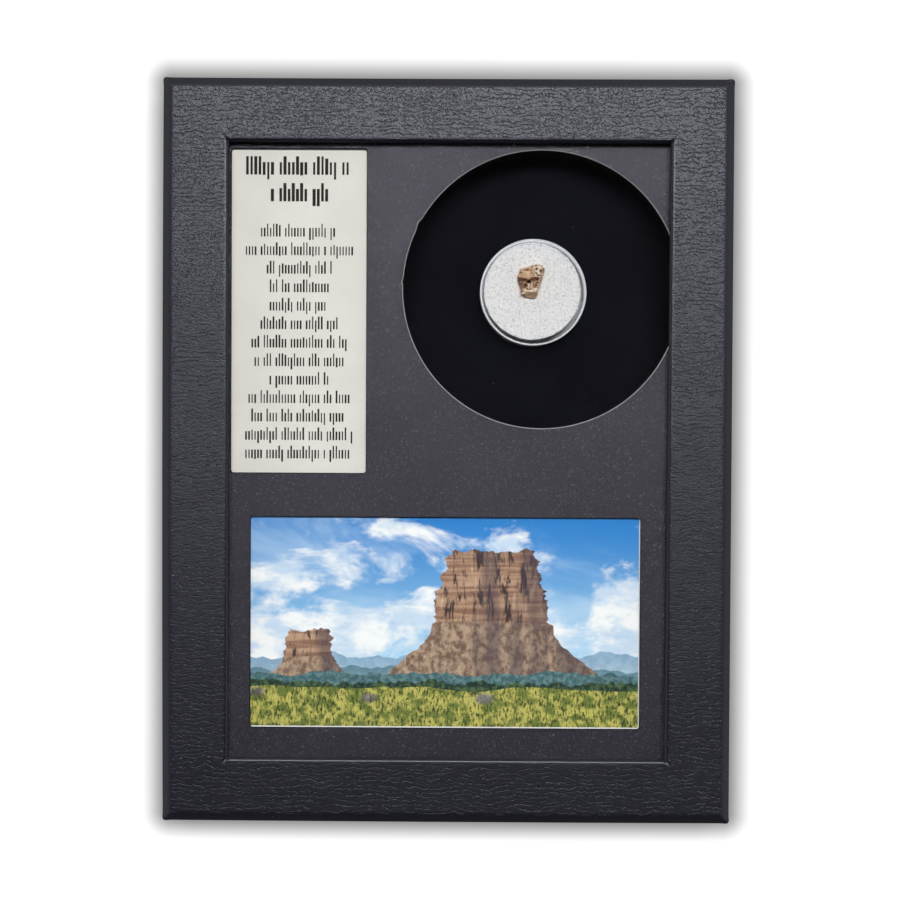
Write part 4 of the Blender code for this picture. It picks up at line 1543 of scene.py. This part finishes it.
@dataclass
class InsertLayers(SubAssembly):
    """The board with its cut-outs, the two cards, the foam bed and the velvet."""

    label_middle: Point = (-41.4, 38.8)
    label_size: Point = (37.5, 89.8)
    picture_middle: Point = (-0.4, -47.8)
    picture_size: Point = (108.5, 58.7)
    well_middle: Point = (26.0, 45.05)
    well_radius: float = 38.5
    cut_corner: float = 1.0
    cut_round: float = 0.26      # rounding of the board's cut edges
    nicks: tuple[tuple[float, float, float], ...] = ((152.0, 0.45, 1.6), (177.0, 0.35, 0.9))

    def build(self) -> None:
        """Build the board and dress the rest."""
        board = SpeckledBoard("speckled_dark_board", "dark_board")
        self.stand_in("cut_board", self.board_mesh(), board, "insert_board")
        self.dress("label_card", LabelPrint("label_rows", "label_paper", middle=self.label_middle,
                                            half_height=self.label_size[1] / 2))
        self.dress("picture_card", LandscapePrint(
            "landscape_print", "printed_card", middle=self.picture_middle,
            half_width=self.picture_size[0] / 2, half_height=self.picture_size[1] / 2))
        self.dress("foam_bed", BlackFoam("open_black_foam", "black_foam"))
        self.dress("velvet_floor", VelvetFlock("black_flock", "black_velvet"))

    def rectangle(self, middle: Point, size: Point, grown: float, radius: float) -> list[Point]:
        """Return the points of a rectangle with round corners, anticlockwise.

        Args:
            middle: its middle.
            size: its width and height before it is grown.
            grown: how far it is grown on each side.
            radius: the radius of its corners.

        Returns:
            The points.
        """
        points = []
        inner = (size[0] / 2 + grown - radius, size[1] / 2 + grown - radius)
        for quarter, (side_x, side_y) in enumerate(((1, 1), (-1, 1), (-1, -1), (1, -1))):
            for step in range(7):
                angle = math.radians(90) * (quarter + step / 6)
                points.append((middle[0] + side_x * inner[0] + radius * math.cos(angle),
                               middle[1] + side_y * inner[1] + radius * math.sin(angle)))
        return points

    def well(self) -> list[Point]:
        """Return the round cut-out, with the small nicks at its left.

        Returns:
            The outline's points.
        """
        points = []
        for step in range(360):
            radius = self.well_radius + self.cut_round
            for angle, depth, width in self.nicks:
                radius += depth * math.exp(-((step - angle) / width) ** 2)
            turn = math.radians(step)
            points.append((self.well_middle[0] + radius * math.cos(turn),
                           self.well_middle[1] + radius * math.sin(turn)))
        return points

    def board_mesh(self) -> bpy.types.Mesh:
        """Return the board as one closed mesh with slightly rounded cut edges.

        Returns:
            The mesh.
        """
        low, high = node_box("insert_board")
        outlines = [
            self.rectangle((0.0, 0.0), (high.x - low.x, high.y - low.y), -self.cut_round, 0.8),
            self.rectangle(self.label_middle, self.label_size, self.cut_round, self.cut_corner),
            self.rectangle(self.picture_middle, self.picture_size, self.cut_round, self.cut_corner),
            self.well(),
        ]
        curve = bpy.data.curves.new("cut_board", "CURVE")
        curve.dimensions = "2D"
        curve.fill_mode = "BOTH"
        curve.extrude = ((high.z - low.z) / 2 - self.cut_round) * MM
        curve.bevel_depth = self.cut_round * MM
        curve.bevel_resolution = 2
        for outline in outlines:
            spline = curve.splines.new("POLY")
            spline.points.add(len(outline) - 1)
            spline.use_cyclic_u = True
            for point, (across, up) in zip(spline.points, outline):
                point.co = (across * MM, up * MM, 0.0, 1.0)
        worker = placed("cut_board_work", curve)
        worker.location.z = (low.z + high.z) / 2 * MM
        bpy.context.view_layer.update()
        mesh = bpy.data.meshes.new_from_object(worker.evaluated_get(bpy.context.evaluated_depsgraph_get()))
        mesh.transform(worker.matrix_world)
        bpy.data.objects.remove(worker)
        bm = bmesh.new()
        bm.from_mesh(mesh)
        bmesh.ops.remove_doubles(bm, verts=bm.verts, dist=0.002 * MM)
        bmesh.ops.recalc_face_normals(bm, faces=bm.faces)
        bm.to_mesh(mesh)
        bm.free()
        level_off(mesh)
        points = points_of(mesh)
        away = np.hypot(points[:, 0] - self.well_middle[0], points[:, 1] - self.well_middle[1])
        # Marks the straight cut edges, away from the round well, for their painted shadow line.
        store(mesh, "painted_cut_shadow", (away > self.well_radius + 1.0).astype(float))
        return mesh


@dataclass
class GemJar(SubAssembly):
    """The clear cup and cap, and the white foam in the cup."""

    middle: Point = (23.67, 44.36)
    foam_middle: Point = (23.58, 44.94)
    foam_spread: float = 0.27    # how far the soft foam bulges beyond the solid
    wall: float = 0.18
    plate: float = 0.9
    rim_width: float = 0.38      # the raised rim round the cap's top
    rim_drop: float = 0.30
    corner: float = 0.30
    steps: int = 192
    foam_voxel: float = 0.16
    foam_pores: float = 0.075    # height of the fine pores
    foam_ragged: float = 0.18    # height of the ragged cut edge
    foam_swell: float = 0.22     # how far the foam rises round the tooth

    def build(self) -> None:
        """Build the cup, the cap and the foam."""
        cup = ClearFinish("clear_cup_plastic", "clear_plastic", (0.98, 0.985, 1.0), 1.49, 0.01, 0.50)
        plate = ClearFinish("clear_cap_plastic", "clear_plastic", (0.995, 0.995, 1.0), 1.49, 0.0)
        # The rim's haze gives it a pale scattering share, a painted highlight that stands in for its bright
        # reflections.
        rim = ClearFinish("clear_rim_painted_highlight", "clear_plastic", (0.955, 0.96, 0.99), 1.49, 0.05, 0.40)
        self.stand_in("clear_cup", self.cup_mesh(), cup, "jar_base")
        self.stand_in("clear_cap", self.plate_mesh(), plate, "jar_lid")
        self.stand_in("clear_cap_rim", self.rim_mesh(), rim, "jar_lid")
        foam = self.stand_in("white_foam_bed", self.foam_mesh(), WhiteFoam("fine_white_foam", "white_foam"),
                             "foam_disc")

    def cup_mesh(self) -> bpy.types.Mesh:
        """Return the cup, turned.

        Returns:
            The mesh.
        """
        low, high = node_box("jar_base")
        cap_low, _ = node_box("jar_lid")
        radius = (high.x - low.x) / 2
        neck = radius - self.wall - 0.2
        shoulder = cap_low.z - 0.3
        profile = [
            (0.0, low.z + self.plate), (neck - self.wall, low.z + self.plate),
            (neck - self.wall, high.z), (neck, high.z), (neck, shoulder),
            (radius, shoulder), (radius, low.z), (radius - 1.6, low.z), (radius - 1.9, low.z + 0.2),
            (0.0, low.z + 0.2),
        ]
        return turned_mesh("clear_cup", soften(profile, self.corner * 0.6), self.middle, self.steps)

    def plate_mesh(self) -> bpy.types.Mesh:
        """Return the cap's flat top inside its raised rim, turned.

        Returns:
            The mesh.
        """
        low, high = node_box("jar_lid")
        gap = 0.03
        radius = (high.x - low.x) / 2 - self.rim_width - gap
        profile = [
            (0.0, high.z - self.rim_drop), (radius, high.z - self.rim_drop),
            (radius, high.z - self.plate), (0.0, high.z - self.plate),
        ]
        return turned_mesh("clear_cap", soften(profile, 0.12), self.middle, self.steps)

    def rim_mesh(self) -> bpy.types.Mesh:
        """Return the cap's rim and wall, turned.

        Returns:
            The mesh.
        """
        low, high = node_box("jar_lid")
        radius = (high.x - low.x) / 2
        inner = radius - self.rim_width
        profile = [
            (inner + 0.12, high.z), (radius, high.z), (radius, low.z), (radius - self.wall, low.z),
            (radius - self.wall, high.z - self.plate), (inner, high.z - self.plate), (inner, high.z),
            (inner + 0.12, high.z),
        ]
        return turned_mesh("clear_cap_rim", soften(profile, self.corner)[:-1], self.middle, self.steps)

    def foam_mesh(self) -> bpy.types.Mesh:
        """Return the foam: fine pores, a ragged cut edge and a low swell under the tooth.

        Returns:
            The mesh.
        """
        low, high = node_box("foam_disc")
        radius = (high.x - low.x) / 2 + self.foam_spread
        profile = [(0.0, high.z), (radius, high.z), (radius, low.z), (0.0, low.z)]
        plain = turned_mesh("foam_plain", soften(profile, 0.15), self.foam_middle, 160)
        mesh = remeshed("white_foam_bed", plain, self.foam_voxel)
        points, normals = points_of(mesh), normals_of(mesh)
        ragged = lumps(points, 1.1, 4, 3.0)
        pores = lumps(points, 0.62, 3, 7.0)
        away = np.hypot(points[:, 0] - self.foam_middle[0], points[:, 1] - self.foam_middle[1])
        rim = ease(away, radius - 0.9, radius - 0.1)
        push = self.foam_pores * pores + rim * (self.foam_ragged * ragged + 0.02)
        broad = lumps(points, 7.0, 2, 11.0)
        points += normals * push[:, None]
        top = ease(points[:, 2], low.z + 1.0, high.z - 0.2)
        from_tooth = np.hypot((points[:, 0] - TOOTH_MIDDLE[0]) / 4.2, (points[:, 1] - TOOTH_MIDDLE[1]) / 5.2)
        swell = self.foam_swell * ease(from_tooth, 1.7, 0.9)
        points[:, 2] += top * (swell + 0.07 * broad)
        move_points(mesh, points)
        mesh.shade_smooth()
        # Stores where the painted warm glow round the tooth falls.
        store(mesh, "tooth_glow", 0.45 * ease(from_tooth, 1.45, 0.95))
        return mesh


class Tone(Enum):
    """The stained zones that a mark on the tooth can belong to."""

    PIT = "pit_zone"
    BROWN = "brown_zone"
    MAUVE = "mauve_zone"
    GREY = "grey_patch"
    CREAM = "cream_zone"


@dataclass(frozen=True)
class Mark:
    """One pit, ridge or stain on the tooth's face, in millimetres from its middle."""

    tone: Tone
    middle: Point
    reach: Point
    turn: float = 0.0            # degrees anticlockwise
    rise: float = 0.0            # how far the face rises there, below 0 for a hollow

    def share(self, points: np.ndarray, spread: float = 0.0) -> np.ndarray:
        """Return how much of the mark each point has, from 0 to 1.

        Args:
            points: the points, in the tooth's own place.
            spread: how far the mark is spread beyond its reach.

        Returns:
            One value for each point.
        """
        turn = math.radians(self.turn)
        across, up = points[:, 0] - self.middle[0], points[:, 1] - self.middle[1]
        along = (across * math.cos(turn) + up * math.sin(turn)) / (self.reach[0] + spread)
        beside = (up * math.cos(turn) - across * math.sin(turn)) / (self.reach[1] + spread)
        return np.exp(-0.75 * (along ** 2 + beside ** 2) ** 1.2)


PIT, BROWN, MAUVE, GREY, CREAM = Tone
TOOTH_MARKS = tuple(Mark(row[0], row[1:3], row[3:5], *row[5:]) for row in (
    # Each row: tone, place across and up, reach along and beside, turn and rise
    # The crown: a row of pits along its top, pale stone at the right
    (PIT, -3.00, 2.33, 0.24, 0.20, 0, -0.25),
    (PIT, -1.55, 3.00, 0.66, 0.17, 12, -0.22),
    (BROWN, -0.85, 3.10, 0.30, 0.24, 0, -0.15),
    (BROWN, -0.10, 2.95, 0.22, 0.40, -20, -0.15),
    (PIT, 0.24, 4.05, 0.28, 0.18, 0, -0.18),
    (PIT, 1.30, 4.32, 0.22, 0.17, 0, -0.14),
    (PIT, 1.40, 3.28, 0.36, 0.24, 30, -0.22),
    (PIT, 2.68, 2.70, 0.29, 0.29, 0, -0.30),
    (PIT, 3.50, 3.25, 0.16, 0.24, 0, -0.12),
    (PIT, 1.35, 2.05, 0.30, 0.16, -20, -0.15),
    (PIT, 2.10, 1.38, 0.55, 0.13, 10, -0.18),
    (BROWN, 0.50, 2.30, 0.40, 0.12, 50, -0.10),
    (BROWN, -0.10, 2.00, 0.34, 0.11, -35, -0.08),
    (BROWN, 0.65, 1.50, 0.34, 0.12, 15, -0.10),
    (GREY, 1.65, 2.75, 0.85, 0.70, 20, 0.02),
    (GREY, 1.20, 3.80, 0.80, 0.45, 10, 0.03),
    (GREY, 1.55, 1.60, 0.75, 0.40, 0, 0.02),
    (CREAM, 2.35, 3.75, 0.55, 0.42, -30, 0.06),
    (CREAM, 2.20, 2.00, 0.34, 0.30, 0, 0.05),
    # The groove under the crown's lip
    (PIT, -3.45, 0.30, 0.36, 0.28, 0, -0.24),
    (BROWN, -2.35, 0.32, 0.62, 0.26, -8, -0.20),
    (BROWN, -1.50, 0.12, 0.50, 0.36, 0, -0.22),
    (PIT, -0.72, -0.22, 0.42, 0.32, 0, -0.32),
    (BROWN, 0.10, 0.62, 0.42, 0.32, 30, -0.22),
    (BROWN, 0.85, 0.85, 0.55, 0.20, 20, -0.18),
    (BROWN, 1.20, 0.30, 0.45, 0.20, -15, -0.15),
    (PIT, 1.92, 0.36, 0.36, 0.24, 0, -0.26),
    # The mauve hollow and the holes below
    (MAUVE, -2.60, -1.15, 0.66, 0.85, 0, -0.22),
    (PIT, -3.25, -0.95, 0.26, 0.42, 0, -0.20),
    (BROWN, -3.35, -0.45, 0.28, 0.80, 8, -0.10),
    (BROWN, -2.85, -1.95, 0.26, 0.60, 20, -0.08),
    (BROWN, -1.75, -1.55, 0.50, 0.50, 0, -0.12),
    (BROWN, -2.05, -1.95, 0.44, 0.36, 20, -0.18),
    (PIT, -1.60, -1.02, 0.32, 0.27, 0, -0.26),
    (BROWN, -1.18, -1.40, 0.15, 0.55, 0, -0.20),
    (PIT, 0.58, -1.20, 0.18, 0.58, -5, -0.30),
    (PIT, 1.72, -0.46, 0.26, 0.22, 0, -0.20),
    (PIT, 1.50, -1.18, 0.17, 0.15, 0, -0.14),
    (BROWN, 1.02, -1.62, 0.18, 0.36, 0, -0.14),
    (BROWN, 1.30, -0.85, 0.30, 0.14, 25, -0.10),
    (PIT, -2.66, -3.00, 0.32, 0.25, 0, -0.20),
    (PIT, -2.20, -4.05, 0.50, 0.16, -20, -0.14),
    (PIT, -0.28, -2.52, 0.15, 0.13, 0, -0.12),
    (PIT, -0.96, -2.56, 0.15, 0.14, 0, -0.12),
    (PIT, -1.35, -2.30, 0.18, 0.12, 0, -0.12),
    # The pillars, the pale band at the foot and the sharp edge at the right
    (CREAM, 0.14, -1.35, 0.24, 1.05, -3, 0.30),
    (CREAM, -0.78, -1.50, 0.21, 0.90, 3, 0.24),
    (CREAM, 1.35, -2.30, 0.55, 0.36, 0, 0.10),
    (CREAM, -0.35, -2.95, 1.70, 0.26, -4, 0.10),
    (CREAM, -2.15, -3.45, 0.65, 0.24, 0, 0.14),
    (CREAM, 2.72, 1.15, 0.15, 1.35, -18, 0.12),
    (CREAM, 2.12, -0.85, 0.14, 0.95, -14, 0.10),
))


@dataclass
class FossilTooth(SubAssembly):
    """The tooth: a fine skin over the solid, with its pits, ridges and stained zones."""

    voxel: float = 0.075
    border_waver: float = 0.26   # how far noise shifts the borders of the marks
    pit_stain: float = 0.62      # strength of the brown stain round each pit
    crown_lip: tuple[Point, ...] = ((-4.2, 1.10), (-2.2, 0.80), (-0.8, 0.45), (0.2, 0.80), (1.2, 1.00),
                                    (3.4, 1.05))
    root_edge: tuple[Point, ...] = ((-3.2, -3.95), (-1.75, -3.70), (-0.2, -3.30), (2.2, -3.55))
    side_edge: tuple[Point, ...] = ((-5.0, 1.9), (-1.8, 2.15), (0.2, 2.40), (1.6, 2.65), (3.8, 3.40),
                                    (5.0, 3.5))

    def build(self) -> None:
        """Build the tooth."""
        enamel = FossilEnamel("worn_fossil_enamel", "fossil")
        self.stand_in("worn_tooth", self.tooth_mesh(), enamel, "fossil_tooth")

    def tooth_mesh(self) -> bpy.types.Mesh:
        """Return the fine skin with its relief and its stored zones.

        Returns:
            The mesh.
        """
        mesh = remeshed("worn_tooth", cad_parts["fossil_tooth"].data, self.voxel, 6)
        low, high = node_box("fossil_tooth")
        points, normals = points_of(mesh), normals_of(mesh)
        own = points - (*TOOTH_MIDDLE, low.z)
        uneven = own.copy()
        uneven[:, 0] += self.border_waver * lumps(own, 0.46, 4, 31.0)
        uneven[:, 1] += self.border_waver * lumps(own, 0.46, 4, 37.0)
        front = ease(normals[:, 2], -0.10, 0.25)
        tones = {tone: np.zeros(len(own)) for tone in Tone}
        rise = np.zeros(len(own))
        for mark in TOOTH_MARKS:
            share = mark.share(uneven) * front
            tones[mark.tone] = np.maximum(tones[mark.tone], share)
            rise += mark.rise * share
            if mark.tone is Tone.PIT:
                stain = self.pit_stain * mark.share(uneven, 0.24) * front
                tones[Tone.BROWN] = np.maximum(tones[Tone.BROWN], stain)
        rough, grain = lumps(own, 1.3, 5, 2.0), lumps(own, 0.42, 3, 8.0)
        chips = np.abs(lumps(own, 1.0, 4, 17.0))
        points += normals * (0.075 * rough + 0.045 * grain - 0.16 * chips)[:, None]
        groove = self.groove(own, rough)
        tones[Tone.BROWN] = np.maximum(tones[Tone.BROWN], 0.8 * groove)
        points[:, 2] += rise + 0.30 * groove * lumps(own, 0.55, 3, 23.0)
        points[:, 2] = np.clip(points[:, 2], low.z, high.z)
        move_points(mesh, points)
        mesh.shade_smooth()
        self.store_zones(mesh, own, tones, rough)
        return mesh

    def store_zones(self, mesh: bpy.types.Mesh, own: np.ndarray, tones: dict[Tone, np.ndarray],
                    rough: np.ndarray) -> None:
        """Store the coloured zones on the mesh.

        Args:
            mesh: the tooth's mesh.
            own: its points before the fine relief, in the tooth's own place.
            tones: how much of each marked tone the points have.
            rough: the coarse roughness, for uneven borders.
        """
        across, up = own[:, 0], own[:, 1]
        lip = np.interp(across, *zip(*self.crown_lip))
        root = np.interp(across, *zip(*self.root_edge))
        side = np.interp(up, *zip(*self.side_edge))
        above = ease(up - lip + 0.2 * rough, -0.05, 0.15)
        leftward = ease(across - 0.35 * up + 0.4 * rough, 0.35, -0.35)
        fracture = np.maximum(ease(root - up, 0.0, 0.25), ease(across - side, 0.0, 0.35))
        strip = ease(across - side, -0.25, -0.05) * ease(across - side, 0.45, 0.15)
        strip *= ease(np.abs(up - 0.9), 2.2, 1.2)
        tones[Tone.BROWN] = np.maximum(tones[Tone.BROWN], 0.95 * strip)
        zones = {"crown": above * leftward, "fracture": fracture, "cavity": self.cavity(mesh)}
        for name, values in zones.items():
            store(mesh, name, values)
        for tone, values in tones.items():
            store(mesh, tone.value, values)

    def groove(self, own: np.ndarray, rough: np.ndarray) -> np.ndarray:
        """Return how much each point lies in the ragged groove under the crown's lip.

        Args:
            own: the points, in the tooth's own place.
            rough: the coarse roughness.

        Returns:
            One value for each point, from 0 to 1.
        """
        lip = np.interp(own[:, 0], *zip(*self.crown_lip))
        below = lip - own[:, 1] + 0.30 * rough + 0.32 * lumps(own * (1.0, 0.45, 1.0), 0.5, 3, 29.0)
        return (ease(below, -0.12, 0.12) * ease(below, 1.75, 0.85)
                * ease(np.abs(own[:, 0] + 0.9), 3.3, 2.4))

    def cavity(self, mesh: bpy.types.Mesh) -> np.ndarray:
        """Return how deep each point lies below its surroundings, about -1 to 1.

        Args:
            mesh: the tooth's mesh.

        Returns:
            One value for each point.
        """
        points = points_of(mesh)
        edges = np.zeros(len(mesh.edges) * 2, np.int32)
        mesh.edges.foreach_get("vertices", edges)
        first, second = edges.reshape(-1, 2).T
        count = np.bincount(first, minlength=len(points)) + np.bincount(second, minlength=len(points))
        smooth = points.copy()
        for _ in range(26):
            total = np.zeros_like(smooth)
            np.add.at(total, first, smooth[second])
            np.add.at(total, second, smooth[first])
            smooth = total / count[:, None]
        depth = np.einsum("ij,ij->i", smooth - points, normals_of(mesh))
        return np.clip(depth / 0.16, -1.0, 1.0)


@dataclass
class Studio:
    """The pale floor, the soft light and the camera."""

    lens: float = 72.0
    camera_place: tuple[float, float, float] = (3.99, 11.34, 518.57)
    camera_turn: tuple[float, float, float] = (-1.248, 0.374, 0.290)
    sky_colour: Colour = (0.97, 0.985, 1.0)
    key_angle: float = 18.0      # from straight above towards the top of the case
    key_distance: float = 1800.0
    key_power: float = 33.5

    def build(self) -> None:
        """Build the floor, the light and the camera."""
        self.add_floor()
        self.add_sky()
        self.add_key()
        self.add_camera()
        bpy.context.scene.view_settings.view_transform = "Standard"

    def add_floor(self) -> None:
        """Add a wide pale floor just under the case."""
        mesh = bpy.data.meshes.new("studio_floor")
        bm = bmesh.new()
        bmesh.ops.create_grid(bm, x_segments=8, y_segments=8, size=2.5)
        bm.to_mesh(mesh)
        bm.free()
        mesh.materials.append(StudioPaper("studio_paper_painted_shadow", "").material())
        floor = placed("studio_floor", mesh)
        floor.location.z = -0.05 * MM

    def add_sky(self) -> None:
        """Light the studio from low down on three sides, and little from above."""
        world = bpy.data.worlds.new("soft_studio")
        world.use_nodes = True
        graph = Graph(world.node_tree)
        direction = graph.add("TexCoord").outputs["Generated"]
        _, north, height = graph.split(direction)
        ring = graph.step(height, 0.62, 0.26, 0.006, 1.0)
        side = graph.product(graph.step(north, -0.85, -0.30, 0.06, 1.7),
                             graph.step(north, 0.35, 0.85, 1.0, 0.55))
        light = graph.wire(graph.add("Background"), Strength=graph.product(ring, side),
                           Color=self.sky_colour)
        output = graph.add("OutputWorld")
        graph.feed(output.inputs["Surface"], light.outputs[0])
        bpy.context.scene.world = world

    def add_key(self) -> None:
        """Add the large soft light beyond the top of the case."""
        lamp = bpy.data.lights.new("key_softbox", "AREA")
        lamp.shape = "RECTANGLE"
        lamp.size = 1.25
        lamp.size_y = 0.40
        lamp.energy = self.key_power
        angle = math.radians(self.key_angle)
        piece = placed("key_softbox", lamp)
        piece.location = Vector((0.04, math.sin(angle), math.cos(angle))) * self.key_distance * MM
        piece.rotation_euler = (-angle, 0.0, 0.0)

    def add_camera(self) -> None:
        """Add the camera, which looks down on the lying case."""
        lens = bpy.data.cameras.new("camera")
        lens.lens = self.lens
        lens.sensor_width = 36.0
        lens.clip_start = 0.01
        lens.clip_end = 20.0
        camera = placed("camera", lens)
        camera.location = Vector(self.camera_place) * MM
        camera.rotation_euler = [math.radians(turn) for turn in self.camera_turn]
        bpy.context.scene.camera = camera


def main() -> None:
    """Build every sub-assembly in order."""
    logging.basicConfig(level=logging.INFO, format="%(message)s")
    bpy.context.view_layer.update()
    Studio().build()
    for assembly in (WrappedCase(), InsertLayers(), GemJar(), FossilTooth()):
        assembly.build()


if __name__ == "__main__":
    main()
